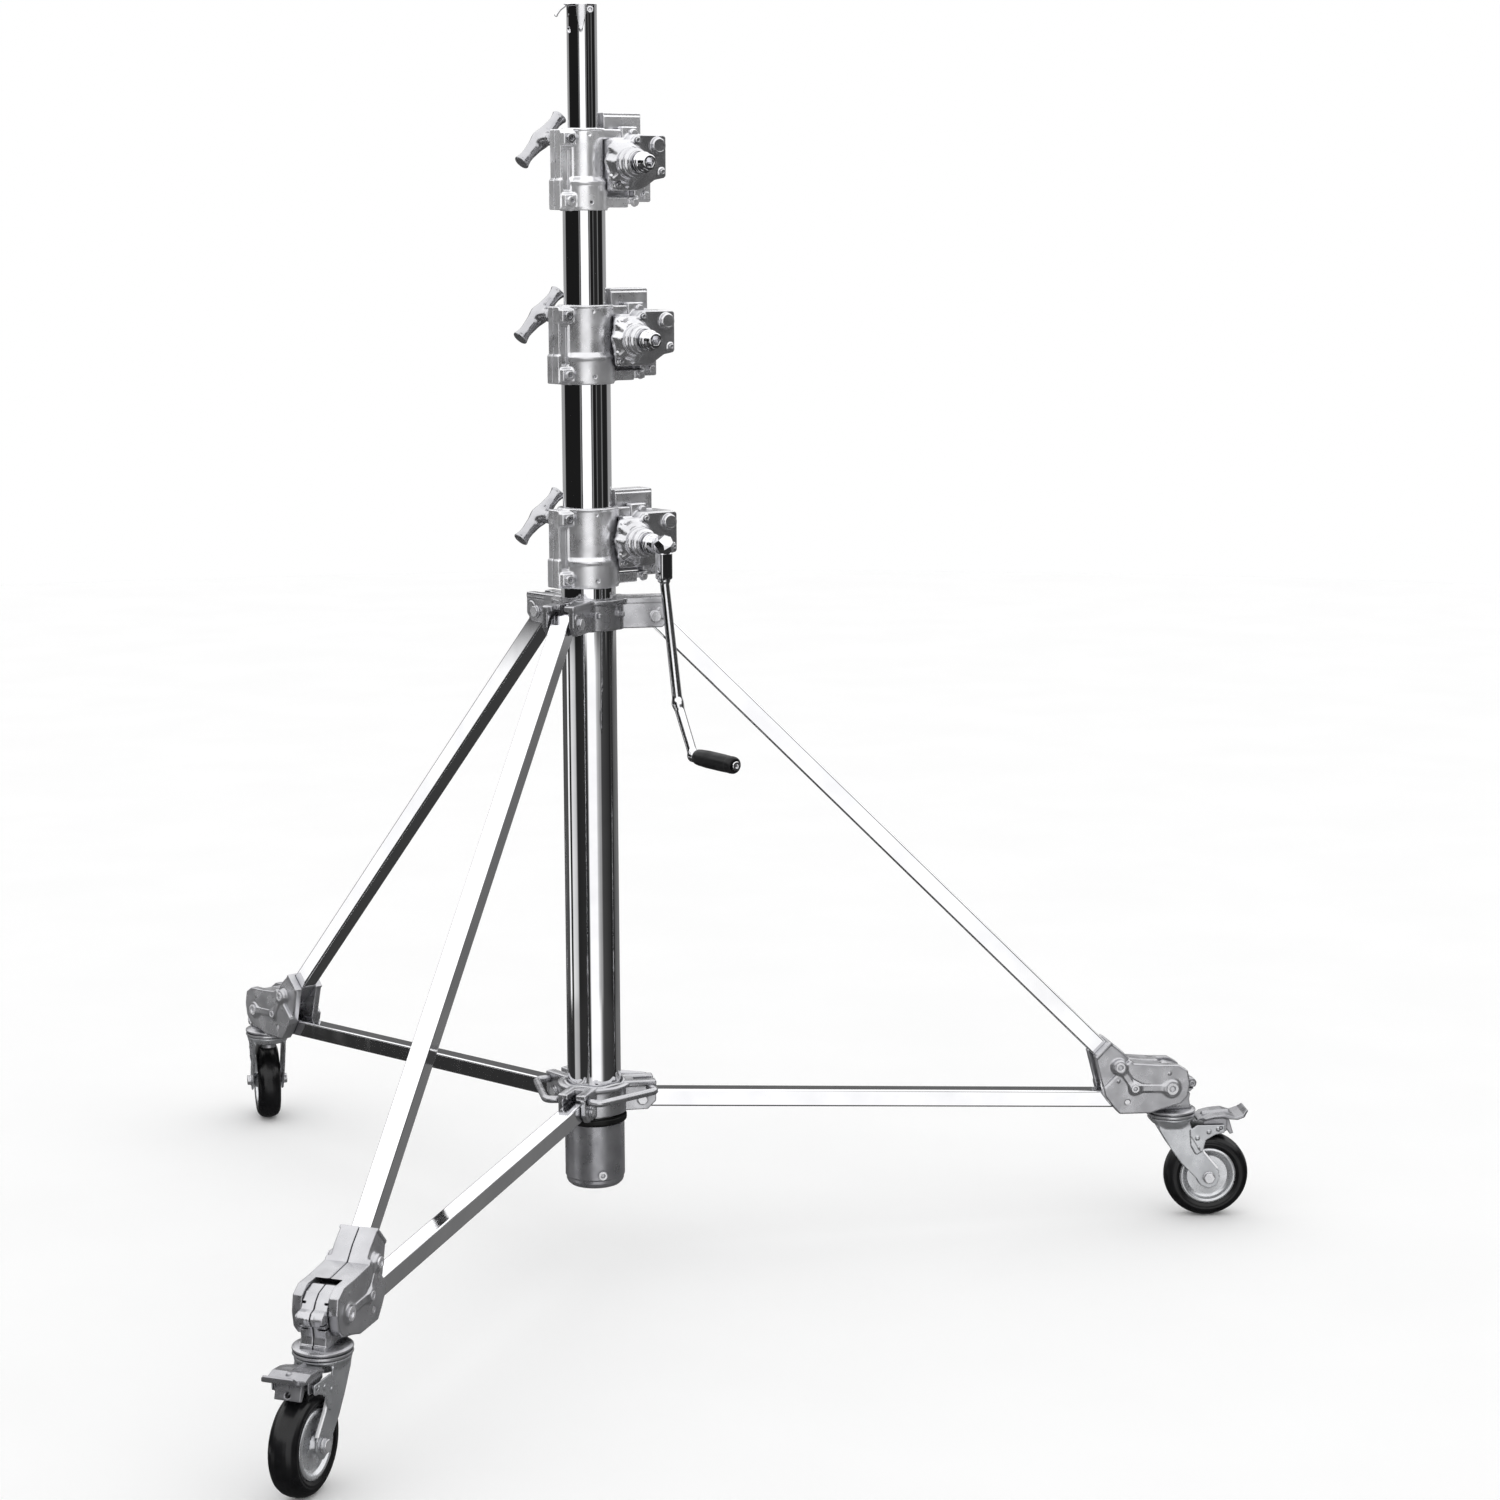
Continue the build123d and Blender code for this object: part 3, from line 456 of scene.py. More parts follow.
def lathe(profile, corner=0.5, segments=112, gap=0.0):
    """Revolved closed profile about z; gap is an angle in degrees left open about x."""
    profile = soften(list(profile), corner) if corner else list(profile)
    if area(profile) < 0:
        profile = profile[::-1]
    count = segments + (1 if gap else 0)
    start = math.radians(gap / 2)
    round_trip = 2 * math.pi - 2 * start
    points = []
    for index in range(count):
        angle = start + round_trip * index / segments
        c, s = math.cos(angle), math.sin(angle)
        points += [(radius * c, radius * s, height) for radius, height in profile]
    rows = len(profile)
    faces = []
    for index in range(segments):
        after = (index + 1) % count
        for row in range(rows):
            nxt = (row + 1) % rows
            if profile[row][0] <= 0 and profile[nxt][0] <= 0:
                continue
            a, b = index * rows + row, index * rows + nxt
            c, d = after * rows + nxt, after * rows + row
            face = [a, d, c, b]
            if profile[row][0] <= 0:
                face = [a, c, b]
            elif profile[nxt][0] <= 0:
                face = [a, d, b]
            faces.append(face)
    if gap:
        faces.append(list(range(rows)))
        faces.append(list(range((count - 1) * rows, count * rows))[::-1])
    return np.array(points, dtype=float), faces


def round_bar(radius, low, high, corner, segments=40):
    """Plain round bar about z."""
    return lathe([(0, low), (radius, low), (radius, high), (0, high)], corner, segments)


def laid(mesh, matrix):
    """Mesh moved by a matrix; a mirrored one has its faces turned round."""
    m = np.array(matrix)
    points = np.asarray(mesh[0]) @ m[:3, :3].T + m[:3, 3]
    faces = [list(face) for face in mesh[1]]
    if matrix.determinant() < 0:
        faces = [face[::-1] for face in faces]
    return points, faces


def merged(*meshes):
    """Several meshes as one."""
    points, faces, start = [], [], 0
    for mesh in meshes:
        points.append(np.asarray(mesh[0]))
        faces += [[index + start for index in face] for face in mesh[1]]
        start += len(mesh[0])
    return np.concatenate(points), faces


MIRROR = Matrix.Scale(-1, 4, (0, 1, 0))
ALONG_Y = Matrix.Rotation(math.radians(90), 4, "X")
AT_AXLE = Matrix.Translation((TRAIL, 0, WHEEL_R))
IN_PLACE = Matrix.Identity(4)


def mirrored(half):
    """A half on the +y side with its mirror image."""
    return merged(half, laid(half, MIRROR))


def on_each_leg(*meshes):
    """Meshes drawn in leg 1's plane, repeated in the plane of each leg."""
    return merged(*[laid(mesh, turn(azimuth)) for azimuth in LEG_AZIMUTHS for mesh in meshes])


def shifted(points, z):
    """Outline moved up by z."""
    return [(x, height + z) for x, height in points]


def piece(name, mesh, matrix, material, body, *nodes, sharp=False):
    """Object that rides on a body and stands for CAD nodes; sharp keeps flat facets."""
    points, faces = laid(mesh, Matrix.Scale(1 / MM, 4) @ matrix)
    data = bpy.data.meshes.new(name)
    data.from_pydata(points.tolist(), [], faces)
    build = bmesh.new()
    build.from_mesh(data)
    bmesh.ops.remove_doubles(build, verts=build.verts, dist=1e-6)
    build.to_mesh(data)
    build.free()
    if not sharp:
        data.shade_smooth()
    data.materials.append(MATERIALS[material])
    made = bpy.data.objects.new(name, data)
    bpy.context.scene.collection.objects.link(made)
    if not sharp:
        weigh = made.modifiers.new("normals", "WEIGHTED_NORMAL")
        weigh.weight = 50
        weigh.keep_sharp = False
    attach(made, body)
    if nodes:
        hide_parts(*nodes)
    return made


# ---------------------------------------------------------------- materials
def add_node(tree, kind, inputs, **settings):
    """New node with settings and with inputs that are values or other nodes' outputs."""
    made = tree.nodes.new("ShaderNode" + kind)
    for key, value in settings.items():
        setattr(made, key, value)
    for key, value in inputs.items():
        if isinstance(value, bpy.types.NodeSocket):
            tree.links.new(value, made.inputs[key])
        else:
            made.inputs[key].default_value = value
    return made


class Shader:
    """Node material on one Principled shader."""

    def __init__(self, name, **sockets):
        self.material = bpy.data.materials.new(name)
        self.material.use_nodes = True
        self.tree = self.material.node_tree
        self.shader = self.tree.nodes["Principled BSDF"]
        self.place = self.tree.nodes.new("ShaderNodeTexCoord").outputs["Object"]
        for socket, value in sockets.items():
            self.shader.inputs[socket.replace("_", " ")].default_value = value

    def node(self, kind, inputs, **settings):
        """New node in this material."""
        return add_node(self.tree, kind, inputs, **settings)

    def noise(self, scale, detail=3.0, stretch=(1, 1, 1)):
        """Noise over the object, scale in waves per metre, stretched along an axis."""
        size = self.node("Mapping", {"Vector": self.place, "Scale": stretch})
        made = self.node("TexNoise", {"Vector": size.outputs[0], "Scale": scale, "Detail": detail})
        return made.outputs["Fac"]

    def ramp(self, value, low, high, start=0.35, end=0.65):
        """A number or colour that runs from low to high as value runs from start to end."""
        if isinstance(low, (int, float)):
            made = self.node("MapRange", {
                "Value": value, "From Min": start, "From Max": end, "To Min": low, "To Max": high})
            return made.outputs[0]
        made = self.node("ValToRGB", {"Fac": value})
        made.color_ramp.elements[0].position = start
        made.color_ramp.elements[0].color = (*low, 1)
        made.color_ramp.elements[1].position = end
        made.color_ramp.elements[1].color = (*high, 1)
        return made.outputs["Color"]

    def scaled(self, colour, value):
        """Colour times a value."""
        made = self.node("Mix", {0: 1.0, 6: colour, 7: value}, data_type="RGBA", blend_type="MULTIPLY")
        return made.outputs[2]

    def use(self, socket, value):
        """Link a value to one of the shader's sockets."""
        self.tree.links.new(value, self.shader.inputs[socket])

    def bumps(self, *layers):
        """Stacked bump from (height, distance in metres, strength)."""
        normal = None
        for height, distance, strength in layers:
            inputs = {"Height": height, "Distance": distance, "Strength": strength}
            if normal is not None:
                inputs["Normal"] = normal
            normal = self.node("Bump", inputs).outputs[0]
        self.use("Normal", normal)


def chrome(name, low, high, rough, wave):
    """Plated steel: faint hand marks in the gloss and a slight wave left by polishing."""
    s = Shader(name, Metallic=1.0)
    s.use("Base Color", s.ramp(s.noise(14, 4), low, high))
    smear = s.noise(60, 5, (1, 1, 0.12))
    s.use("Roughness", s.ramp(smear, rough * 0.5, rough * 1.8))
    s.bumps((s.noise(9, 2, (1, 1, 0.25)), 0.001, wave), (s.noise(900, 2, (1, 1, 0.05)), 0.00002, 0.25))
    return s.material


def casting(name, low, high, rough, grain, metal=0.6):
    """Tumbled aluminium: random tone, painted shade darkening hollows, creases and the gaps between parts, soft
    dents and fine grain.
    """
    s = Shader(name, Metallic=metal, Specular_IOR_Level=0.35)
    # Painted shade: ambient occlusion turns the base colour down to 0.4 of its tone where other surfaces crowd
    # close, in hollows and between parts.
    painted_occlusion_shade = s.node("AmbientOcclusion", {"Distance": 0.012}, samples=6).outputs["AO"]
    tone = s.ramp(s.noise(30, 4), low, high, 0.3, 0.7)
    s.use("Base Color", s.scaled(tone, s.ramp(painted_occlusion_shade, (0.40, 0.40, 0.42), (1, 1, 1), 0.2, 0.8)))
    s.use("Roughness", s.ramp(s.noise(45, 4), rough * 0.75, rough * 1.3))
    s.bumps((s.noise(45, 2), 0.0005, grain), (s.noise(700, 3), 0.00004, 0.15))
    return s.material


def rubber(name, low, high, rough, grain, coat=0.0):
    """Moulded rubber or plastic with a fine skin and dusty patches."""
    s = Shader(name, Coat_Weight=coat, Coat_Roughness=0.12, Specular_IOR_Level=0.32)
    s.use("Base Color", s.ramp(s.noise(45, 5), low, high))
    s.use("Roughness", s.ramp(s.noise(30, 4), rough * 0.75, rough * 1.3))
    s.bumps((s.noise(900, 3), 0.00012, grain), (s.noise(60, 2), 0.0004, grain * 0.5))
    return s.material


MATERIALS = {name: make(name, *values) for name, make, *values in (
    ("polished_tube", chrome, (0.84, 0.84, 0.86), (0.93, 0.93, 0.94), 0.02, 0.12),
    ("polished_leg", chrome, (0.86, 0.86, 0.88), (0.95, 0.95, 0.96), 0.03, 0.08),
    ("chromed_forging", chrome, (0.72, 0.72, 0.74), (0.86, 0.86, 0.88), 0.1, 0.05),
    ("satin_sleeve", casting, (0.3, 0.3, 0.32), (0.42, 0.42, 0.44), 0.3, 0.1, 0.8),
    ("cast_aluminium", casting, (0.7, 0.7, 0.72), (0.84, 0.84, 0.86), 0.3, 0.22, 0.82),
    # Lighter copy of cast_aluminium for the top stage's castings: painted light.
    ("bright_casting", casting, (0.86, 0.86, 0.88), (0.96, 0.96, 0.98), 0.24, 0.14, 0.7),
    ("knuckle_casting", casting, (0.46, 0.46, 0.48), (0.58, 0.58, 0.6), 0.3, 0.16, 0.85),
    ("pedal_steel", casting, (0.32, 0.32, 0.34), (0.44, 0.44, 0.46), 0.28, 0.2, 0.8),
    ("bracket_casting", casting, (0.48, 0.48, 0.5), (0.6, 0.6, 0.62), 0.26, 0.1, 0.88),
    ("tee_casting", casting, (0.46, 0.46, 0.48), (0.6, 0.6, 0.62), 0.2, 0.08, 0.9),
    # Near-white, hardly metallic finish for the fork's front edges: a painted highlight.
    ("bright_edge", casting, (0.9, 0.9, 0.92), (0.97, 0.97, 0.98), 0.2, 0.05, 0.1),
    ("polished_casting", casting, (0.62, 0.62, 0.64), (0.78, 0.78, 0.8), 0.2, 0.08, 0.9),
    ("steel_bolts", casting, (0.6, 0.6, 0.62), (0.8, 0.8, 0.82), 0.22, 0.1, 0.75),
    ("zinc_steel", casting, (0.48, 0.49, 0.51), (0.6, 0.61, 0.63), 0.3, 0.15, 0.8),
    ("zinc_hub", casting, (0.6, 0.61, 0.63), (0.72, 0.73, 0.75), 0.26, 0.03, 0.75),
    ("tyre_rubber", rubber, (0.003, 0.003, 0.0035), (0.008, 0.008, 0.009), 0.3, 0.15, 0.1),
    ("bumper_rubber", rubber, (0.003, 0.003, 0.003), (0.008, 0.008, 0.008), 0.5, 0.4),
    ("grip_plastic", rubber, (0.005, 0.005, 0.0055), (0.013, 0.013, 0.014), 0.38, 0.5),
)}


# ---------------------------------------------------------------- fasteners
def socket_screw(radius, head, shank, length):
    """Socket head screw along y: head from 0 to -head, shank from 0 to length."""
    field = join(0.3, rod(1, (0, 0), radius, -head, 0, 0.6), rod(1, (0, 0), shank, -0.5, length, 0.3))
    field = less(0.3, field, hexagon((0, 0), radius * 0.85, -head - 2, -head * 0.45, 0.1))
    reach = radius + 1
    return cast(field, (-reach, -head, -reach), (reach, length, reach), 0.45, 0.6)


def hex_bolt(across, height, shank, length):
    """Hexagon bolt along y with a washer face: head from 0 to -height."""
    head = hexagon((0, 0), across, -height, 0, 0.7)
    washer = rod(1, (0, 0), across * 0.62, -1.2, 0, 0.4)
    crown = rod(1, (0, 0), across * 0.54, -height, 0, 0.9)
    field = join(0.2, lambda p: np.maximum(head(p), crown(p)), washer,
                 rod(1, (0, 0), shank, -0.5, length, 0.3))
    reach = across * 0.7
    return cast(field, (-reach, -height, -reach), (reach, length, reach), 0.55, 0.6)


def at(mesh, x, y, z, flip=False):
    """Mesh moved to a point, or turned to face +y there."""
    face = Matrix.Rotation(math.pi, 4, "Z") if flip else Matrix.Identity(4)
    return laid(mesh, Matrix.Translation((x, y, z)) @ face)


# ---------------------------------------------------------------- foot, bumper, tip of the mast
def foot_parts():
    """Foot sleeve, its cross bolt and the rubber bumper above it."""
    low = foot_of("foot_sleeve")
    high = top_of("foot_sleeve")
    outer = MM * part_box("foot_sleeve")[1][0]
    tube = TUBE_R[0]
    profile = [(0, low), (outer - 7, low), (outer - 3.2, low + 3.5), (outer - 1.6, low + 7),
               (outer - 1.6, low + 12)]
    profile += [(outer, low + 13.2), (outer, high - 1), (tube + 0.2, high), (tube + 0.2, low + 5),
                (0, low + 5)]
    piece("foot_sleeve_turned", lathe(profile, 0.8), IN_PLACE, "satin_sleeve",
          "mast", "foot_sleeve")
    low, high = foot_of("bumper_ring"), top_of("bumper_ring")
    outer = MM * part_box("bumper_ring")[1][0]
    ring = [(tube + 0.05, low), (outer, low), (outer, high), (tube + 0.05, high)]
    piece("bumper_moulded", lathe(ring, 3.0), IN_PLACE, "bumper_rubber", "mast", "bumper_ring")
    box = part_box("foot_bolt")
    z = MM * (box[0][2] + box[1][2]) / 2
    angle = math.degrees(math.atan2(box[1][0] - box[0][0] - FOOT_BOLT_HEAD, box[1][1] - box[0][1]))
    head = socket_screw(6.5, 5.0, 4.0, 10.0)
    bolt = merged(at(head, 0, -outer + 3.4, 0), at(head, 0, outer - 3.4, 0, True))
    piece("foot_bolt_heads", bolt, turn(angle, z), "steel_bolts", "mast", "foot_bolt")


def mast_tip():
    """Spigot receiver and its spring latch."""
    high = top_of("top_socket")
    low = foot_of("top_socket")
    bore = frame["record"]["mounts"][0]["dims"]["r_mm"]
    outer = TUBE_R[3]
    inner = outer - TUBE_WALL[3] - 0.02
    profile = [(bore, low), (inner, low)]
    profile += shifted([(inner, -3), (outer, -3), (outer, 0), (bore, 0)], high)
    tongue = [(-8.5, -0.5), (7.5, -0.5), (6.5, -12), (3.0, -26), (0.5, -38), (-3.0, -38), (-6.0, -20)]
    tongue = plate(shifted(tongue, high), -outer - 1.9, 0, 0.6, 2.0)
    lump = rod(1, (11.5, high - 8), 4.6, -outer + 0.6, -12, 0.9)
    knob = rod(1, (-1.2, high - 33), 2.2, -outer - 2.8, -12, 0.6)
    skin = rod(2, (0, 0), outer + 1.6, high - 45, high, 0.8)
    front = join(1.2, lambda p: np.maximum(tongue(p), skin(p)), lump, knob)
    front = less(0.2, front, rod(2, (0, 0), outer - 0.4, high - 60, high + 5, 0.1),
                 hexagon((11.5, high - 8), 4.4, -outer - 3, -outer + 2.4, 0.2))
    catch = cast(front, (-12, -outer - 3, high - 42), (18, -8, high + 0.5), 0.5, 0.5)
    piece("spigot_receiver", lathe(profile, 0.7), IN_PLACE, "polished_tube",
          "riser_stage_3", "top_socket")
    piece("catch_plate", laid(catch, turn(CATCH_AZIMUTH + 90)), IN_PLACE, "polished_casting",
          "riser_stage_3", "top_socket")
    hook = [(14, 0), (22, 0.2), (30, -5), (36, -14), (33.5, -15.5), (28, -8), (21.2, -3), (20.8, -0.4)]
    roof = [(13, 0), (24, 0), (21, 2.3), (16, 2.3)]
    field = join(1.5, plate(shifted(hook, high), -5, 5, 0.8, 0.6),
                 plate(shifted(roof, high), -5, 5, 0.8, 0.3),
                 rod(1, (34.4, high - 14.2), 2.0, -6.2, 6.2, 0.6),
                 rod(2, (17.5, 0), 3.4, high, high + 3.0, 0.8))
    mesh = cast(field, (12, -7, high - 18), (38, 7, high + 4), 0.5, 0.5)
    piece("latch_hook", mesh, turn(168.0), "polished_tube", "riser_stage_3", "spring_latch")


# ---------------------------------------------------------------- clamp collars and gearboxes
# The top stage takes the lighter copy of cast aluminium: painted light on its castings.
STAGE_CASTING = ("cast_aluminium", "cast_aluminium", "bright_casting")


def collar_field(stage):
    """Split clamp collar; heights run down from its top face."""
    n = stage_n(stage)
    upper, lower = COLLAR_R[stage]
    low, step = -COLLAR_LENGTH[stage], -COLLAR_STEP[stage]
    screw = SCREW_OFFSET[stage]
    reach = screw + FLANGE_REACH
    barrel = turned(2, (0, 0), [
        (0, low), (lower - 0.6, low), (lower, low + 5), (lower, step - 7), (lower + 1.2, step - 3),
        (lower + 1.0, step - 1), (upper + 0.3, step + 5), (upper, step + 12), (upper, -4),
        (upper + 0.7, -2.5), (upper + 0.7, -0.8), (upper, 0), (0, 0)], 0.8)
    upper_flange = brick((-reach + 2, -13, step), (0, 13, -1.5), 1.6)
    lower_flange = brick((-reach, -14, low + 1), (0, 14, step + 1), 1.6)
    body = join(3.5, barrel, upper_flange, lower_flange)
    for z in (-TEE_DROP, low + 13):
        pad = brick((-screw - 9, -20, z - 9), (-screw + 9, 0, z + 9), 2.6)
        boss = rod(1, (-screw, z), 10.0, 4, 14.2, 1.2)
        body = join(4.0, body, pad, boss)
    body = join(3.0, body, brick((0, -26, -15), (n + 12, -14, -1), 1.8),
                brick((0, -26, low + 4), (n + 22, -12, low + 18), 1.8))
    tools = [brick((-screw - 7, -15, low + 27), (-screw + 3, -10.4, -28), 1.0)]
    tools.append(brick((-reach - 2, -HALF_SPLIT, low - 5), (0, HALF_SPLIT, 5), 0.2))
    tools.append(rod(2, (0, 0), TUBE_R[stage + 1] + 0.4, low - 5, 5, 0.1))
    held_top = top_of(("outer_tube", "riser_1", "riser_2")[stage]) - collar_top(stage)
    tools.append(rod(2, (0, 0), TUBE_R[stage] + 0.02, low - 5, min(held_top, -8.0) + 0.02, 0.1))
    tools.append(rod(1, (n, -SHAFT_DROP), GEAR_MODULE * PINION_TEETH[stage] / 2 + 3.0, -15, 6, 0.5))
    for z in (-8.5, low + 11):
        tools.append(limb((-upper * 0.254, -upper, z), (-upper * 0.254, -upper - 4, z), 2.2))
    for x, y in ((0.55, -0.86), (-0.2, 0.98), (0.85, 0.5)):
        tools.append(limb((upper * x, upper * y, -36), (upper * x * 1.1, upper * y * 1.1, -36), 1.6))
    return less(0.8, body, *tools)


def stage_piece(name, mesh, stage, material, node):
    """Piece of one stage, with heights run down from its collar's top face."""
    number = stage + 1
    piece(f"{name}_{number}", mesh, turn(GEAR_AZIMUTH, collar_top(stage)),
          material, STAGE_BODY[stage], f"{node}_{number}")


def shaft_place(stage):
    """Matrix from a drive shaft's own frame, in mm, to its place."""
    height = collar_top(stage) - SHAFT_DROP
    return turn(GEAR_AZIMUTH, height) @ Matrix.Translation((stage_n(stage), 0, 0))


def collar_piece(stage):
    """Clamp collar with its lower clamp screw."""
    low = -COLLAR_LENGTH[stage]
    screw = SCREW_OFFSET[stage]
    reach = screw + FLANGE_REACH
    n = stage_n(stage)
    radius = COLLAR_R[stage][1]
    box = ((-reach - 1, -radius - 3, low - 1), (max(n + 23, radius + 2), radius + 2, 1))
    body = cast(collar_field(stage), *box, 0.95, 0.42)
    head = socket_screw(6.3, 6.0, 3.6, 4.0)
    nut = hex_bolt(11.0, 6.0, 3.6, 4.0)
    z = low + 13
    parts = merged(body, at(head, -screw, -20, z), at(nut, -screw, 13.9, z, True))
    stage_piece("clamp_casting", parts, stage, STAGE_CASTING[stage], "clamp_collar")


def cover_outline(stage, shrink=0.0):
    """Outline of the gearbox cover, with its raised tab; heights run down from the collar's top."""
    n = stage_n(stage)
    left, right = COVER_REACH[stage]
    points = [
        (n - left, -83), (n - left, -15), (n + 14, -15), (n + 20, -8), (n + right, -8),
        (n + right, -66), (n + right - 18, -69), (n + right - 36, -80), (n + right - 46, -83)]
    return inset(points, shrink) if shrink else points


def housing_piece(stage):
    """Gearbox housing: front frame, tall rear box, lugs with hexagon bolts."""
    n = stage_n(stage)
    low = -COLLAR_LENGTH[stage]
    upper, lower = COLLAR_R[stage]
    left = TUBE_R[stage + 1] + 1.5
    body = plate(cover_outline(stage), COVER_BACK, 4, 1.6, 5.0)
    rear = brick((left, -9, -92), (left + 67, 22, 22), 3.2)
    rib = brick((left + 3, 21, -60), (left + 64, 23.5, -54), 1.2)
    lugs = [brick((n + 12, -26, -14.9), (n + 38, -14, 3), 2.0),
            brick((n + 22, -26, low + 4), (n + 40, -12, low + 18), 2.0),
            brick((n + 34, -22, -98), (n + 62, -8, -70), 2.5)]
    field = join(2.5, body, rear, rib, *lugs)
    field = join(1.0, field, brick((n - 10, -40, -15.5), (n + 6, -16, -12.5), 1.0))
    dents = [limb((left + x, 23.5, z), (left + x, 26, z), 3.0) for x in (10, 57) for z in (12, -82)]
    ledge = brick((left - 5, -12, 17.0), (left + 72, -7.6, 30), 0.8)
    field = less(0.6, field, rod(2, (0, 0), upper + 0.3, -130, 40, 0.1), ledge,
                 rod(2, (0, 0), lower + 1.4, -130, -COLLAR_STEP[stage] + 2, 0.1),
                 rod(1, (n, -SHAFT_DROP), SHAFT_BORE, -60, -20, 0.3), *dents)
    mesh = cast(field, (TUBE_R[stage + 1], -44, -99), (n + COVER_REACH[stage][1] + 1, 24.5, 23), 1.0, 0.28)
    bolt = hex_bolt(10.0, 5.0, 3.0, 2.0)
    spots = ((n + 30, -26, -6), (n + 31, -26, low + 11), (n + 52, -22, -89))
    parts = merged(mesh, *[at(bolt, *spot) for spot in spots])
    stage_piece("gearbox_casting", parts, stage, STAGE_CASTING[stage], "gearbox_housing")


# foot and top of each rib from the shaft: x, z, then x, height, z, then its two radii
COVER_RIBS = (
    (-19, 19, -9, 60, 10, 6.5, 5.0), (-23, 2, -12, 61, 0, 7.0, 5.5), (-17, -19, -8, 60, -9, 7.5, 5.0),
    (6, -25, 2, 60, -13, 8.0, 6.0), (21, -12, 12, 60, -5, 6.0, 5.0))


def cover_piece(stage):
    """Cover plate with the sculpted nose, the corner boss and the cover screws."""
    n = stage_n(stage)
    z = -SHAFT_DROP
    left, right = COVER_REACH[stage]
    sheet = plate(cover_outline(stage, 0.7), COVER_FRONT, COVER_BACK, 1.3, 5.0)
    dome = turned(1, (n + 2, z + 1), [
        (0, -43), (29, -43), (28.6, -50), (26.5, -55), (22, -59.5), (20, -63), (0, -63)], 1.0)
    neck = turned(1, (n, z), [
        (0, -50), (22, -52), (19.5, -60), (20.5, -63), (20.5, -67), (17.2, -69), (17.2, -73), (19.6, -74.5),
        (19.6, -79.5), (16.2, -81.5), (16.2, -86), (0, -86)], 0.7)
    ribs = [limb((n + x, -49, z + up), (n + top_x, -top, z + top_up), r0, r1)
            for x, up, top_x, top, top_up, r0, r1 in COVER_RIBS]
    boss = turned(1, (n + right - 15, -23), [
        (0, -44), (11.4, -44), (10.8, -53), (8.6, -55), (8.0, -54.2), (0, -54.2)], 0.6)
    body = join(5.0, join(3.0, dome, *ribs), sheet)
    body = join(1.5, join(2.0, body, neck), boss)
    screws = ((n - left + 8, -24), (n - left + 8, -76), (n + right - 8, -58), (n + 22, -16))
    for sx, sz in screws:
        body = join(1.5, body, rod(1, (sx, sz), 5.6, COVER_FRONT - 1.2, COVER_BACK, 0.7))
    body = less(0.5, body, rod(1, (n, z), 11.6, -95, -40, 0.2))
    mesh = cast(body, (n - 30, -87, -84), (n + right + 1, COVER_BACK, -7), 0.8, 0.5)
    screw = socket_screw(3.8, 3.2, 2.0, 1.0)
    parts = merged(mesh, *[at(screw, sx, COVER_FRONT - 1.0, sz) for sx, sz in screws])
    stage_piece("cover_casting", parts, stage, "polished_casting", "gearbox_cover")


def pinion_outline(stage):
    """Tooth outline of a pinion around its own axis."""
    count = PINION_TEETH[stage]
    pitch = GEAR_MODULE * count / 2
    rows = ((pitch - 1.3 * GEAR_MODULE, 1.55), (pitch, 0.98), (pitch + 0.9 * GEAR_MODULE, 0.42))
    points = []
    for index in range(count):
        centre = math.pi + 2 * math.pi * index / count
        for radius, half in rows:
            points.append((radius, centre - half / radius))
        for radius, half in reversed(rows):
            points.append((radius, centre + half / radius))
    return [(radius * math.cos(a), radius * math.sin(a)) for radius, a in points]


def shaft_piece(stage):
    """Drive shaft on its own axis: pinion, bearing part, ringed nose and hexagon socket."""
    tip = turned(1, (0, 0), [
        (0, -40), (11.4, -40), (11.4, -88), (12.6, -90), (14.4, -92), (14.4, -94), (13.0, -95),
        (13.0, -96.4), (14.2, -97), (14.2, -99), (12.0, -100.5), (11.4, -106), (10.6, -111),
        (9.2, NOSE_TIP), (0, NOSE_TIP)], 0.5)
    field = join(1.0, tip, rod(1, (0, 0), 4.5, -44, 16, 0.6))
    field = join(0.3, field, plate(pinion_outline(stage), -3.3, 3.3, 0.3))
    field = less(0.5, field, hexagon((0, 0), 12.0, NOSE_TIP - 4, NOSE_TIP + 18, 0.3))
    reach = max(15.0, GEAR_MODULE * (PINION_TEETH[stage] / 2 + 1))
    mesh = cast(field, (-reach, NOSE_TIP, -reach), (reach, 16, reach), 0.7, 0.5)
    number = stage + 1
    piece(f"drive_nose_{number}", mesh, shaft_place(stage), "chromed_forging",
          f"drive_shaft_{number}", f"drive_shaft_{number}")


def tee_parts():
    """T-handle casting and its clamp stud, around the handle's centre."""
    grip = turned(2, (0, 0), [
        (0, -TEE_HALF), (10.2, -TEE_HALF), (11, -TEE_HALF + 1.6), (9.8, -TEE_HALF + 5),
        (8.4, -TEE_HALF + 11), (8.4, -TEE_HALF + 17), (10.2, -12), (11.6, 0), (10.2, 12),
        (8.4, TEE_HALF - 17), (8.4, TEE_HALF - 11), (9.6, TEE_HALF - 5), (11, TEE_HALF - 1.6),
        (10.2, TEE_HALF), (0, TEE_HALF)], 1.0)
    grip = tilted((0, 0), TEE_TILT, grip)
    hub = limb((0, -26, 0), (0, 0, 0), 8.4, 9.2)
    collar = rod(1, (0, 0), 8.8, -30.5, -26, 1.0)
    reach = TEE_HALF * 0.72 + 9
    handle = cast(join(9.0, grip, join(2.0, hub, collar)), (-reach, -31, -reach), (reach, 14, reach), 0.8,
                  0.5)
    head = at(socket_screw(6.3, 6.0, 3.5, 45.0), 0, -TEE_OFFSET - 20.1, 0)
    washer = laid(lathe([(3.6, 0), (6.0, 0), (6.0, 8), (3.6, 8)], 0.6, 48),
                  Matrix.Translation((0, -30.6, 0)) @ ALONG_Y)
    return merged(handle, head, washer)


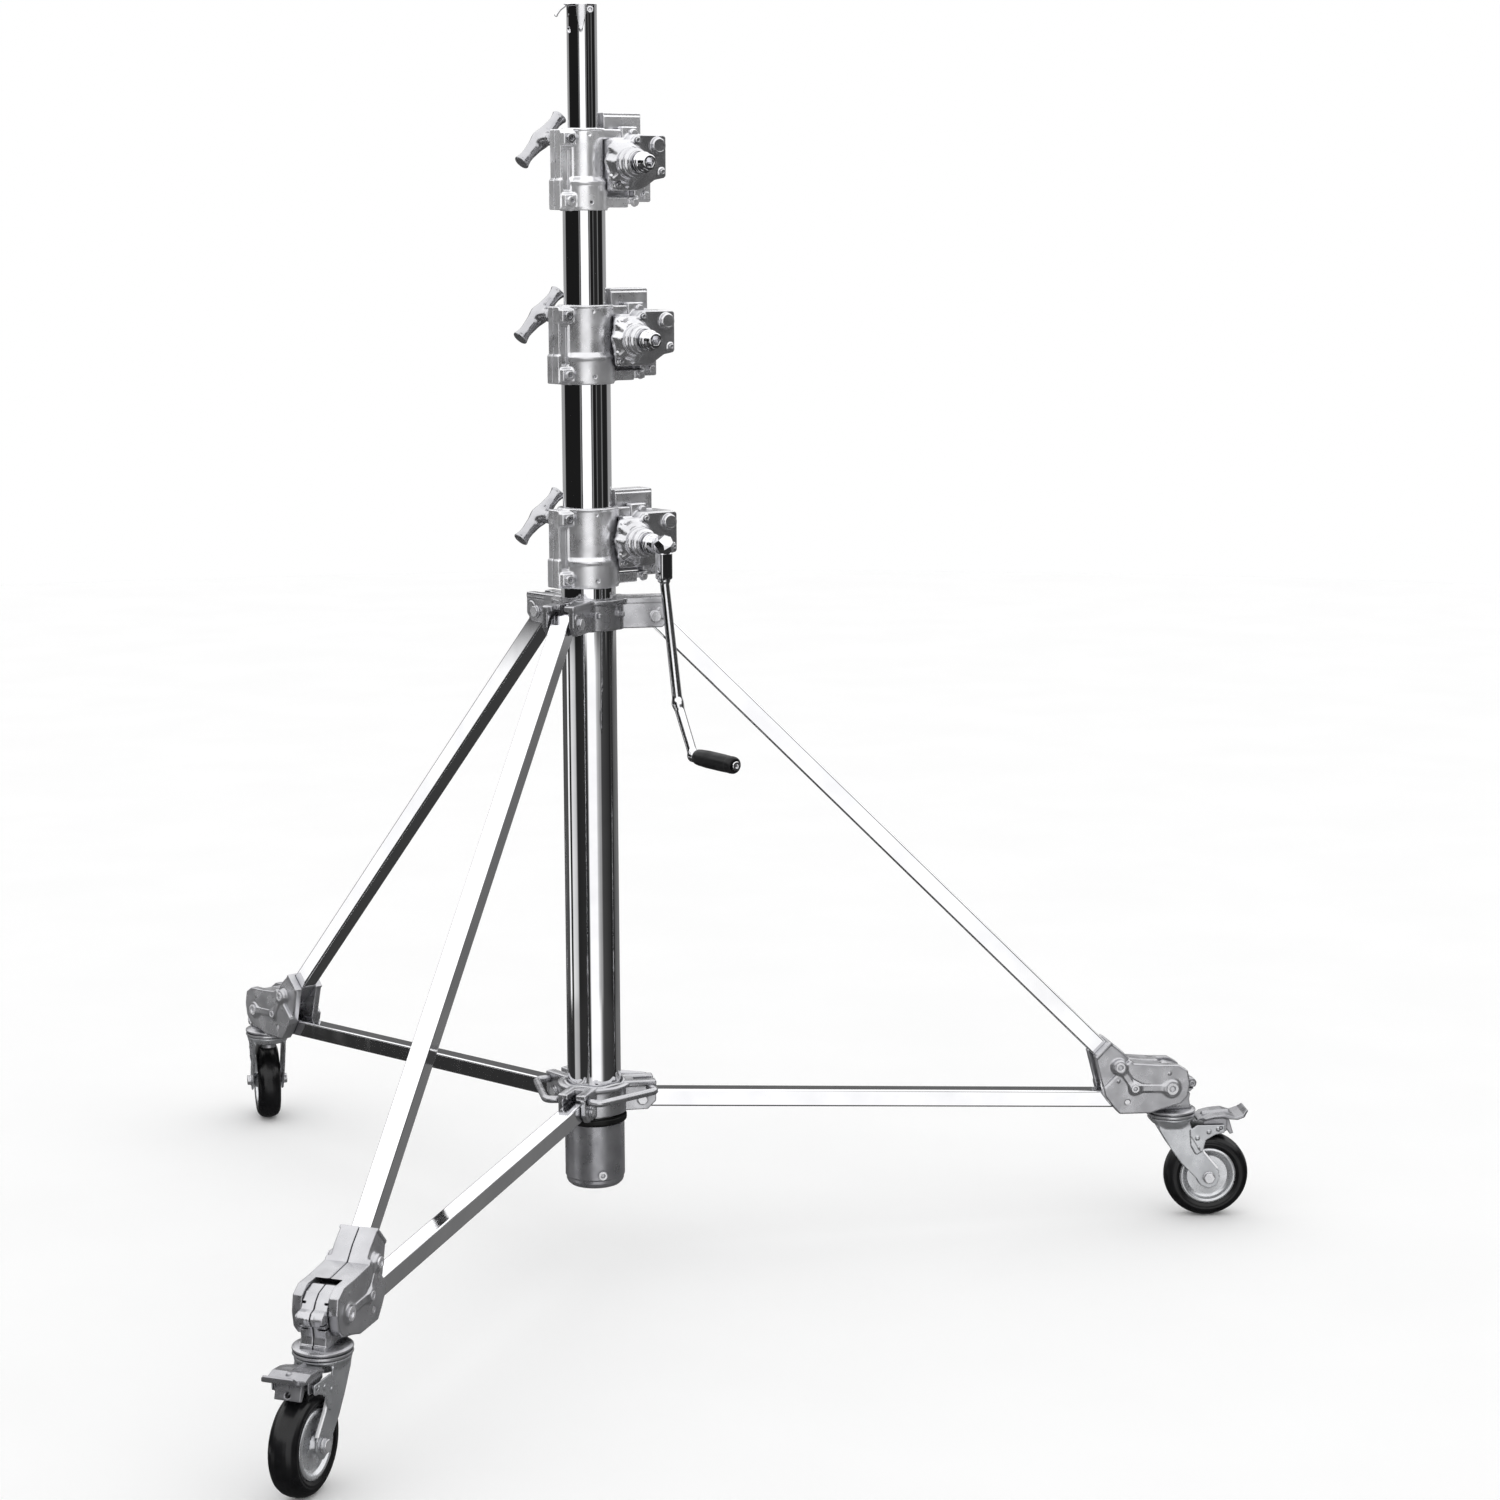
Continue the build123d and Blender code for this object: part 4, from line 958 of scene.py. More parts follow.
def tee_pieces():
    """The T-handle on each collar."""
    mesh = tee_parts()
    for stage in range(3):
        number = stage + 1
        height = collar_top(stage) - TEE_DROP
        place = turn(GEAR_AZIMUTH, height) @ Matrix.Translation((-SCREW_OFFSET[stage], TEE_OFFSET, 0))
        piece(f"tee_casting_{number}", mesh, place, "tee_casting",
              f"tee_handle_{number}", f"tee_handle_{number}")


# ---------------------------------------------------------------- crank
def gem(tip):
    """Sharp faceted head facing -y: rings of corners round a pointed crown."""
    rings = ((tip - 1.0, 12.0, 0.0), (tip - 9.0, 15.0, 22.5), (tip - 17.0, 14.4, 0.0),
             (tip - 24.0, 8.5, 22.5))
    points = [(0.0, tip - 28.0, 0.0)]
    for y, radius, lead in rings:
        for index in range(8):
            angle = math.radians(45 * index + lead + 11)
            points.append((radius * math.cos(angle), y, radius * math.sin(angle)))
    build = bmesh.new()
    for point in points:
        build.verts.new(point)
    bmesh.ops.convex_hull(build, input=build.verts)
    bmesh.ops.recalc_face_normals(build, faces=build.faces)
    spots, faces = [], []
    for face in build.faces:
        faces.append(list(range(len(spots), len(spots) + len(face.verts))))
        spots += [tuple(vertex.co) for vertex in face.verts]
    build.free()
    return np.array(spots, dtype=float), faces


def crank_pieces():
    """Crank: socket stub, faceted head, clevis block, bent arm, spindle and grip."""
    tip = NOSE_TIP
    skirt = rod(1, (0, 0), 13.0, tip - 8, tip - 0.3, 1.2)
    stub = hexagon((0, 0), 11.9, tip - 2, tip + 16, 0.4)
    block = less(0.6, brick((-9.5, tip - 20.5, -46), (9.5, tip - 3.5, -9), 2.6),
                 brick((-11, tip - 13, -47), (11, tip - 11, -30), 0.2))
    eye = rod(0, (tip - 12, -38), 4.0, -10.4, 10.4, 0.8)
    waist = rod(2, (0, tip - 12), 8.6, -50, -44, 1.2)
    knots = ((0, tip - 12, -44), (2, tip - 40, -214), (4, tip - 74, -CRANK_DROP))
    arm = join(6.0, limb(knots[0], knots[1], 6.4, 6.9), limb(knots[1], knots[2], 6.9, 6.6))
    end = knots[2]
    hub = limb(end, (end[0], end[1] - 3, end[2]), 8.2)
    spindle = rod(1, (end[0], end[2]), 4.0, end[1] - GRIP_LENGTH - 12, end[1], 0.4)
    screw = rod(1, (end[0], end[2]), 6.3, end[1] - GRIP_LENGTH - 13.5, end[1] - GRIP_LENGTH - 9.7, 0.8)
    slit = hexagon((end[0], end[2]), 5.0, end[1] - GRIP_LENGTH - 16, end[1] - GRIP_LENGTH - 11, 0.1)
    body = join(1.2, join(0.4, skirt, stub), block, waist)
    body = join(0.6, join(4.0, join(2.0, body, arm), hub), eye)
    body = join(0.4, body, spindle)
    body = less(0.2, join(0.3, body, screw), slit)
    field_low = (-16, end[1] - GRIP_LENGTH - 14, -CRANK_DROP - 9)
    mesh = cast(body, field_low, (16, tip + 17, 16), 0.85, 0.5)
    place = shaft_place(0)
    piece("crank_forging", mesh, place, "chromed_forging", "crank", "crank_arm")
    piece("crank_head_facets", gem(tip), place, "chromed_forging", "crank", "crank_arm", sharp=True)
    profile = [(4.1, 0), (9.2, 0), (10.6, 2.5), (11.2, 8), (12.0, 26), (12.0, 58), (11.6, 76), (11.9, 80)]
    profile += [(11.6, GRIP_LENGTH - 3), (9.6, GRIP_LENGTH), (7.6, GRIP_LENGTH), (7.6, GRIP_LENGTH - 3)]
    profile += [(4.1, GRIP_LENGTH - 3)]
    grip = laid(lathe(profile, 1.0, 72), Matrix.Translation((end[0], end[1] - 9, end[2])) @ ALONG_Y)
    piece("crank_grip_moulded", grip, place, "grip_plastic", "crank_grip", "crank_grip")


# ---------------------------------------------------------------- fixed bracket and sliding collar
def bracket_piece():
    """Fixed bracket: three castings clamped round the mast, parted in the leg planes."""
    low, high = foot_of("leg_bracket"), top_of("leg_bracket")
    hub, reach = BRACKET_HUB, BRACKET_REACH
    inner, outer = BRACKET_CHEEK
    ring = turned(2, (0, 0), [
        (0, low), (hub, low), (hub, high - 7), (hub + 5, high - 5), (hub + 5, high), (0, high)], 1.2)
    outline = [(30, low + 1), (reach - 12, low + 1), (reach, low + 13), (reach, high), (30, high)]
    arms, ends, planes = [], [], ((0, 1), (120, -1))
    for azimuth, side in planes:
        near, far = sorted((side * inner, side * outer))
        first, last = sorted((side * SPLIT_HALF, side * outer))
        end = sorted((side * (outer - 1.5), side * (outer + 1.6)))
        cheek = plate(outline, near, far, 1.4, 4.0)
        lid = brick((30, first, high - 7), (reach, last, high), 1.4)
        arms.append(spun(azimuth, join(2.0, cheek, lid)))
        ends.append(spun(azimuth, rod(1, (reach - 11, high - 21), 9.0, *end, 1.0)))
    body = join(4.0, ring, *arms)
    body = join(1.0, body, *ends)
    for azimuth in (38, 82):
        body = join(1.5, body,
                    spun(azimuth, brick((hub - 2, -2.2, high - 24), (hub + 9, 2.2, high - 17), 0.8)))
    cuts = [rod(2, (0, 0), TUBE_R[0] + 0.02, low - 20, high + 20, 0.1),
            brick((-200, -200, 0), (200, SPLIT_HALF, 2000), 0.1),
            spun(120, brick((-200, -SPLIT_HALF, 0), (200, 200, 2000), 0.1))]
    for azimuth, _ in planes:
        cuts.append(spun(azimuth, rod(1, UPPER_PIVOT, UPPER_BOLT_R + BOLT_PLAY, -60, 60, 0.1)))
        cuts.append(spun(azimuth, brick((94, -9, high - 16), (140, 9, high + 9), 1.5)))
        cuts.append(spun(azimuth, brick((72, -4.5, high - 16), (100, 4.5, high + 9), 1.0)))
    body = less(0.8, body, *cuts)
    third = cast(body, (-75, 0, low), (reach + 1, 112, high), 0.95, 0.3)
    piece("bracket_castings", on_each_leg(third), IN_PLACE, "bracket_casting", "mast", "leg_bracket")
    bolts(UPPER_PIVOT, BRACKET_CHEEK[1], UPPER_BOLT_R, "bracket_hinge_bolts", "mast", "bracket_bolts")


def bolts(pivot, half, radius, name, body, node):
    """Hinge bolt with head and nut in each leg's plane."""
    shank = laid(round_bar(radius, -half, half, 0.2, 48), ALONG_Y)
    head = hex_bolt(radius * 3.0, 5.0, radius * 0.9, 0.6)
    one = merged(shank, at(head, 0, -half, 0), at(head, 0, half, 0, True))
    one = at(one, pivot[0], 0, pivot[1])
    piece(name, on_each_leg(one), IN_PLACE, "steel_bolts", body, node)


def sweep(knots, height, radius, bend, sides=20):
    """Round bar along level knots, with each inner corner bent to a smooth curve."""
    path = [Vector((*knots[0], height))]
    for before, here, after in zip(knots, knots[1:], knots[2:]):
        a, h, b = (Vector((*knot, height)) for knot in (before, here, after))
        start, end = h + (a - h).normalized() * bend, h + (b - h).normalized() * bend
        path += [curve(start, h, end, t) for t in np.linspace(0, 1, 9)]
    path.append(Vector((*knots[-1], height)))
    points, faces = [], []
    for index, spot in enumerate(path):
        ahead = (path[min(index + 1, len(path) - 1)] - path[max(index - 1, 0)]).normalized()
        across = ahead.cross(Vector((0, 0, 1)))
        for side in range(sides):
            angle = 2 * math.pi * side / sides
            out, rise = radius * math.cos(angle), radius * math.sin(angle)
            points.append(spot + across * out + Vector((0, 0, rise)))
    for index in range(len(path) - 1):
        for side in range(sides):
            after = (side + 1) % sides
            a, b = index * sides + side, index * sides + after
            faces.append([a, b, b + sides, a + sides])
    faces.append(list(range(sides))[::-1])
    faces.append(list(range((len(path) - 1) * sides, len(path) * sides)))
    return np.array(points, dtype=float), faces


def sliding_collar_piece():
    """Sliding collar: hub with a wavy rim, forked arms and cast loop handles."""
    low, high = foot_of("lower_collar"), top_of("lower_collar")
    inner, hub, reach = TUBE_R[0] + 0.4, SLIDER_HUB, SLIDER_REACH
    near, far = SLIDER_CHEEK
    ring = lathe([(inner, low), (hub, low), (hub, high - 8), (hub + 5, high - 6), (hub + 5, high - 1.5),
                  (hub, high - 0.6), (inner, high - 1)], 1.2)
    circle = [(42.0 + 2.5 * math.cos(a), high - 1.0 + 2.5 * math.sin(a))
              for a in np.linspace(0, 2 * math.pi, 15)[:-1]]
    points, faces = lathe(circle, 0, 144)
    points[:, 2] += 0.9 * np.cos(6 * np.arctan2(points[:, 1], points[:, 0]))
    outline = [(36, low + 1), (reach - 12, low + 1), (reach, low + 13), (reach, high), (36, high)]
    side = plate(outline, near, far, 1.4, 4.0)
    arm = join(2.0, both_sides(side), brick((36, -far, high - 7), (reach, far, high), 1.4))
    arm = less(0.8, arm, rod(2, (0, 0), hub - 4, low - 20, high + 20, 0.1),
               rod(1, LOWER_PIVOT, LOWER_BOLT_R + BOLT_PLAY, -60, 60, 0.1),
               brick((56, -6.5, high - 10), (100, 6.5, high + 9), 1.2))
    arm_mesh = cast(arm, (38, -21, low), (reach + 1, 21, high), 0.8, 0.5)
    c, d = heading(LEG_AZIMUTHS[1])
    knots = [*LOOP_KNOTS, *[(r * c + w * d, r * d - w * c) for r, w in reversed(LOOP_KNOTS)]]
    loop = sweep(knots, LOOP_Z, LOOP_R, LOOP_BEND)
    mesh = merged(ring, (points, faces), on_each_leg(arm_mesh, loop))
    piece("sliding_collar_casting", mesh, IN_PLACE, "bracket_casting",
          "sliding_collar", "lower_collar")
    bolts(LOWER_PIVOT, far, LOWER_BOLT_R, "collar_hinge_bolts", "sliding_collar", "lower_collar_bolts")


# ---------------------------------------------------------------- knuckles
def along(origin, angle, distance, offset=0.0):
    """Point at a distance along a direction in a leg's plane, shifted to its left."""
    c, s = heading(angle)
    return origin[0] + distance * c - offset * s, origin[1] + distance * s + offset * c


def corners(origin, angle, near, far, left, right):
    """Corners of a box drawn along a direction in a leg's plane."""
    return [along(origin, angle, distance, offset)
            for distance, offset in ((near, left), (far, left), (far, right), (near, right))]


def strip(start, end, half):
    """Four corners of a straight strip between two points."""
    angle = math.degrees(math.atan2(end[1] - start[1], end[0] - start[0]))
    return corners(start, angle, 0, math.dist(start, end), half, -half)


STRUT_ANGLE = math.degrees(math.atan2(STRUT_FIX[1] - UPPER_PIVOT[1], STRUT_FIX[0] - UPPER_PIVOT[0]))
SHELL_OUTLINE = (
    (735.6, 252.6), (758.2, 275.6), (778.8, 258.6), (793.1, 242.0), (833.9, 237.5), (862.0, 236.0),
    (876.5, 227.0), (880.5, 207.0), (877.0, 187.5), (867.0, 177.0), (835.3, 169.4), (820.3, 165.0),
    (773.0, 166.5), (762.0, 179.0), (751.0, 194.5))


def half_shell():
    """One half casting of a knuckle, on the +y side of a leg's plane."""
    outer = SHELL_HALF
    body = plate(SHELL_OUTLINE, 0.35, outer, 2.2, 4.0)
    collar = corners(STRUT_FIX, STRUT_ANGLE, -60, 5, 40, -40)
    body = less(4.0, body, plate(collar, MOUTH_HALF, outer + 9, 0.8))
    lip = corners(STRUT_FIX, STRUT_ANGLE, -36.2, -31.5, 16.9, -15.2)
    body = join(1.0, body, plate(lip, 0.35, MOUTH_HALF + 0.9, 0.8, 1.0))
    bosses, ribs = [], []
    for spot, radius, low in (
            (STRUT_FIX, 10.0, MOUTH_HALF - 2), (KNUCKLE_BOLT, 8.2, outer - 2),
            (BLOCK_PIVOT, 12.0, outer - 2)):
        profile = [(0, low), (radius + 2, low), (radius + 0.6, outer), (radius - 1.2, outer + 2.4),
                   (0, outer + 2.4)]
        bosses.append(turned(1, spot, profile, 0.7))
    for a, b, low in ((STRUT_FIX, KNUCKLE_BOLT, MOUTH_HALF - 2), (KNUCKLE_BOLT, BLOCK_PIVOT, outer - 2)):
        ribs.append(plate(strip(a, b, 4.4), low, outer + 1.9, 0.9))
    body = join(3.0, body, join(6.0, *bosses, *ribs))
    dots = [rod(1, spot, 2.2, outer - 2, outer + 0.9, 0.5)
            for spot in ((784.5, 183), (769.9, 216.8), (848.2, 224))]
    body = join(0.6, body, *dots)
    half = STRUT_HALF + 0.05
    mouth = corners(STRUT_FIX, STRUT_ANGLE, -80, 12, half, -half)
    swing = [(700, 150), (700, 300), along(STRUT_FIX, STRUT_ANGLE, -60, -half),
             along(STRUT_FIX, STRUT_ANGLE, 6, -half)]
    swing += [(786, 203), (800.5, 192), (800.5, 150)]
    room = [(820.5, 198), BLOCK_PIVOT, (930, 240), (930, 120), (820.5, 120)]
    cuts = [plate(mouth, -half, half, 0.3), plate(swing, -STRUT_ROOM, STRUT_ROOM, 0.3),
            rod(1, OUTER_PIVOT, 16.5, -STRUT_ROOM, STRUT_ROOM, 0.3),
            rod(1, BLOCK_PIVOT, 37.0, -BLOCK_ROOM, BLOCK_ROOM, 0.3),
            plate(room, -BLOCK_ROOM, BLOCK_ROOM, 0.3)]
    for spot, radius in (*KNUCKLE_BOLTS, (OUTER_PIVOT, PIN_R)):
        cuts.append(rod(1, spot, radius + BOLT_PLAY, -40, 40, 0.1))
    return less(1.0, body, *cuts)


def half_bolts():
    """Half of the knuckle's through bolts, with socket heads."""
    reach = SHELL_HALF + 2.2
    parts = []
    for spot, radius in KNUCKLE_BOLTS:
        profile = [(0, 0), (radius, 0), (radius, reach), (radius * 1.45, reach), (radius * 1.45, reach + 3)]
        profile += [(radius * 0.8, reach + 3), (radius * 0.62, reach + 0.4), (0, reach + 0.4)]
        bolt = laid(lathe(profile, 0.5, 40), MIRROR @ ALONG_Y)
        parts.append(at(bolt, spot[0], 0, spot[1]))
    pin = laid(round_bar(PIN_R, 0, SHELL_HALF - 0.5, 0.4), MIRROR @ ALONG_Y)
    parts.append(at(pin, OUTER_PIVOT[0], 0, OUTER_PIVOT[1]))
    return merged(*parts)


BLOCK_STEPS = (
    (825, 166), (823, 190), (825, 215), (836, 229), (852, 233.5), (868, 229), (877, 221), (882, 213),
    (890, 211), (894.5, 204), (891, 196), (886, 192), (884, 180), (886, 166))


def block_parts():
    """Split castor block: stepped halves, pinch screw, bearing race and kingpin."""
    body = plate(BLOCK_STEPS, 0.5, BLOCK_HALF, 1.6, 1.4)
    body = join(1.5, body, plate([(828, 160), (828, 170), (888, 170), (888, 160)], 0.5, BLOCK_HALF, 1.4))
    ledges = [plate(strip((x, z), (x + 14, z), 1.0), 12, 20, 0.4) for x, z in ((872, 219), (880, 197))]
    ear = rod(1, PINCH_BOLT, 7.4, 6.0, BLOCK_HALF, 1.2)
    groove = plate(strip((866, 190), (890, 190), 1.0), 6.0, 17.5, 0.4)
    body = less(0.6, join(2.0, body, ear), rod(1, BLOCK_PIVOT, 6.1, -20, 20, 0.1), groove, *ledges)
    half = cast(body, (820, 0, 159), (897, 18, 235), 0.8, 0.3)
    race = lathe([(0, 166), (27, 166), (33, 164.6), (36.2, 163.0), (36.5, 161.2), (35.6, 160.2),
                  (32.6, 159.8), (32.6, 158.4), (35.8, 157.8), (36.3, RACE_Z + 2.2), (34.5, RACE_Z),
                  (0, RACE_Z)], 0.4)
    pin = lathe([(0, RACE_Z), (8, RACE_Z), (8, 137), (12, 137), (12, 132), (0, 132)], 0.5, 48)
    screw = socket_screw(4.6, 3.0, 2.5, 33.0)
    return merged(mirrored(half), at(race, SWIVEL_R, 0, 0),
                  at(pin, SWIVEL_R, 0, 0), at(screw, PINCH_BOLT[0], -BLOCK_HALF, PINCH_BOLT[1]))


# ---------------------------------------------------------------- castors
def fork_parts():
    """Swivel fork: raceway crown, raked arms, brake bracket and rivets, half on each side."""
    low = RACE_Z - 0.5
    plate_out = FORK_HALF + FORK_PLATE
    crown = turned(2, (0, 0), [(0, low - 11), (27.0, low - 11), (30.4, low - 7.5), (34.2, low - 3.2),
                               (34.5, low), (0, low)], 0.6)
    arm = [(-24, low - 6), (24, low - 6), (29, 132), (46, 100), (TRAIL + 15, 72), (TRAIL + 16, WHEEL_R - 2)]
    arm += [(TRAIL + 11, WHEEL_R - 13), (TRAIL, WHEEL_R - 17), (TRAIL - 12, WHEEL_R - 12)]
    arm += [(TRAIL - 20, WHEEL_R), (12, 85), (-3, 106), (-20, 134)]
    bracket = [(26, 112), (24, 136), (34, 143), (76, 143), (76, 131), (62, 128), (48, 120), (44, 104),
               (34, 98)]
    cheek = plate(arm, FORK_HALF, plate_out, 0.9, 3.0)
    web = plate(bracket, plate_out - 0.3, plate_out + 2.0, 0.7, 3.0)
    rivets = [rod(1, spot, 3.0, plate_out, plate_out + 3.4, 1.2)
              for spot in ((35, 124), (36, 107), (66, 137), (52, 133))]
    body = join(5.0, crown, cheek)
    body = join(0.8, body, web, *rivets)
    pressed = plate([(4, 120), (26, 128), (44, 98), (52, 84), (40, 82), (14, 100)], plate_out + 1.6,
                    plate_out + 6, 2.0, 5.0)
    body = less(0.6, body, rod(2, (0, 0), 8.06, 90, 200, 0.1), rod(2, (0, 0), 12.6, 90, 137.3, 0.3),
                rod(1, (TRAIL, WHEEL_R), 5.02, 0, 60, 0.1), rod(1, PEDAL_PIN, 2.6, 0, 60, 0.1),
                brick((-60, -30, 60), (60, FORK_HALF - 0.02, low - 11), 0.5), pressed)
    reach = 35.5
    return cast(both_sides(body), (-36, -reach, WHEEL_R - 18), (TRAIL + 24, reach, low + 1), 0.8, 0.3)


def fork_edges():
    """Turned-in front edges of the fork's arms."""
    lines = (((30.5, 129), (46, 101)), ((46, 101), (TRAIL + 13, 76)))
    edge = join(0.6, *[plate(strip(a, b, 1.5), FORK_HALF - 1.4, FORK_HALF + FORK_PLATE + 0.3, 0.7)
                       for a, b in lines])
    return cast(both_sides(edge), (27, -28, 72), (TRAIL + 17, 28, 133), 0.8, 0.4)


def axle_parts():
    """Wheel bolt with spacers, head and nut."""
    rod_half = FORK_HALF + FORK_PLATE
    spacer = round_bar(6, -FORK_HALF, FORK_HALF, 0.3)
    shank = round_bar(5, -rod_half, rod_half, 0.3)
    head = hex_bolt(15.0, 6.5, 4.8, 0.5)
    parts = merged(laid(spacer, ALONG_Y), laid(shank, ALONG_Y), at(head, 0, -rod_half, 0),
                   at(head, 0, rod_half, 0, True))
    return laid(parts, AT_AXLE)


def pedal_parts():
    """Brake pedal: pressed top with a rib, curled toe, cheeks, shoe with a hole, and its pin."""
    top = [(36, 150), (60, 156), (78, 157.5), (92, 153), (104, 157), (110, 163), (112.5, 161)]
    top += [(107, 153), (96, 149), (84, 150), (74, 153), (60, 152.5), (36, 147)]
    body = plate(top, -25, 25, 1.0, 0.9)
    cheek = [(40, 148), (60, 153), (80, 155), (80, 132), (66, 131), (56, 138), (40, 143)]
    body = join(2.0, body, plate(cheek, 20.4, 22.6, 0.6, 2.0))
    shoe = [(77, 154), (83, 153), (91, 127), (86, 125.5), (79, 136)]
    body = join(2.0, body, plate(shoe, 0, 17, 0.9, 0.8))
    body = join(0.5, body, rod(1, PEDAL_PIN, 2.45, -1, 28.4, 0.6))
    rib = limb((48, 0, 154.2), (84, 0, 156.4), 3.2)
    corner = rod(2, (36, 29), 11.0, 130, 170, 0.5)
    toe = rod(2, (116, 31), 12.5, 130, 175, 0.5)
    body = join(2.5, body, rib)
    body = less(1.0, body, corner, toe, limb((92, 0, 134), (80, 0, 130), 3.4))
    return cast(both_sides(body), (34, -30, 123), (114, 30, 165), 0.8, 0.35)


def tyre_parts():
    """Rounded rubber tread with moulding lines on the sidewall."""
    half = 19.0
    side = [(42.0, -half + 3), (44.5, -half + 1.8), (47, -half + 0.4), (49, -half + 0.9), (51, -half + 0.5)]
    side += [(54.5, -half + 1.4), (58.6, -half + 4.4), (61.4, -half + 9.4), (WHEEL_R, -half + 14.5),
             (WHEEL_R, 0)]
    profile = side + [(radius, -height) for radius, height in reversed(side[:-1])]
    return laid(lathe(profile, 1.2, 128), AT_AXLE @ ALONG_Y)


def hub_parts():
    """Pressed wheel centre: dished discs with rolled rim and stepped rings round the boss."""
    bore = 6.06
    side = [(bore, -21.5), (9.8, -21.5), (11, -19.8), (13.5, -14.6), (17, -12.8), (30, -11.9),
            (33.5, -13.6), (36.4, -17.4), (39.4, -18.1), (41.95, -16.5)]
    profile = side + [(radius, -height) for radius, height in reversed(side)]
    return laid(lathe(profile, 0.9, 112), AT_AXLE @ ALONG_Y)


def leg_pieces():
    """Knuckle, castor and wheel of each leg, from one set of meshes."""
    half = cast(half_shell(), (734, 0, 163), (882, SHELL_HALF + 3, 277), 0.85, 0.3)
    # name, mesh, body, material, node, and whether it turns with the castor
    rows = (
        ("knuckle_castings", mirrored(half), "strut", "knuckle_casting", "knuckle_shells", False),
        ("knuckle_screws", mirrored(half_bolts()), "strut", "steel_bolts", "knuckle_bolts", False),
        ("block_castings", block_parts(), "caster_block", "knuckle_casting", "caster_block", False),
        ("fork_pressing", fork_parts(), "fork", "zinc_steel", "fork", True),
        # the fork's front edges in a near-white finish: painted highlight
        ("fork_edge", fork_edges(), "fork", "bright_edge", "fork", True),
        ("axle_bolt", axle_parts(), "fork", "steel_bolts", "axle", True),
        ("pedal_pressing", pedal_parts(), "brake_pedal", "pedal_steel", "brake_pedal", True),
        ("tyre_moulded", tyre_parts(), "wheel", "tyre_rubber", "tyre", True),
        ("hub_pressing", hub_parts(), "wheel", "zinc_hub", "wheel_hub", True),
    )
    for leg, azimuth in enumerate(LEG_AZIMUTHS):
        number = leg + 1
        for name, mesh, body, material, node, on_caster in rows:
            place = caster_matrix(leg) if on_caster else turn(azimuth)
            piece(f"{name}_{number}", mesh, place, material, f"{body}_{number}", f"{node}_{number}")


# ---------------------------------------------------------------- assembly
for node_name, node in frame["nodes"].items():
    node.data.materials.clear()
    node.data.materials.append(MATERIALS[SLOTS[node_name]])

foot_parts()
mast_tip()
for stage_index in range(3):
    collar_piece(stage_index)
    housing_piece(stage_index)
    cover_piece(stage_index)
    shaft_piece(stage_index)
tee_pieces()
crank_pieces()
bracket_piece()
sliding_collar_piece()
leg_pieces()


# ---------------------------------------------------------------- floor, studio, camera
CAMERA_AT = (-0.6058, -4.2542, 1.4516)
CAMERA_YAW = 11.084
CAMERA_DOWN = 9.541
CAMERA_ROLL = -0.188
CAMERA_LENS = 74.65
VIEW_AZIMUTH = -98.1                    # from the mast to the camera

# What the polished steel mirrors: (degrees to the right of the camera, brightness)
HIGH_BAND = (
    (-180, 0.36), (-124, 0.33), (-118, 0.012), (-30, 0.012), (-28, 0.25), (-25, 0.25), (-24, 0.015),
    (-21, 0.015), (-19, 1.2), (20, 1.2), (23, 0.02), (26, 0.02), (28, 0.3), (30, 0.3), (32, 0.012),
    (46, 0.012), (48, 0.15), (50, 0.15), (52, 0.02), (72, 0.02), (75, 0.2), (78, 0.2), (80, 0.015),
    (100, 0.015), (112, 0.02), (118, 0.32), (180, 0.36))
LOW_BAND = (
    (-180, 0.10), (-120, 0.08), (-113, 0.03), (-111, 1.1), (-103, 1.1), (-101, 0.015), (-91, 0.015),
    (-88, 0.85), (-66, 0.6), (-60, 0.02), (-12, 0.03), (-7, 1.1), (24, 1.1), (28, 0.6), (38, 0.35),
    (46, 0.35), (50, 0.06), (85, 0.03), (92, 0.008), (97, 0.05), (108, 0.012), (114, 0.1), (150, 0.18),
    (180, 0.12))
FLOOR_BAND = (
    (-180, 0.1), (-150, 0.06), (-115, 0.03), (-92, 0.03), (-88, 0.5), (-66, 0.4), (-60, 0.03),
    (-12, 0.03), (-7, 1.1), (28, 1.1), (38, 0.35), (50, 0.06), (108, 0.03), (114, 0.14), (150, 0.18),
    (180, 0.14))


# Edges between the bands: (degrees above the horizon, half width of the change)
FLOOR_STARTS, LOW_STARTS, HIGH_STARTS = (-25, 1.5), (-14.15, 0.25), (-7.5, 0.6)
WALL_STARTS, CEILING_STARTS, BACK_STARTS = (6, 1.0), (19, 3.0), (120, 8)
UNDER_LIGHT, BACK_LIGHT, CEILING_LIGHT = 0.045, 0.14, 1.4


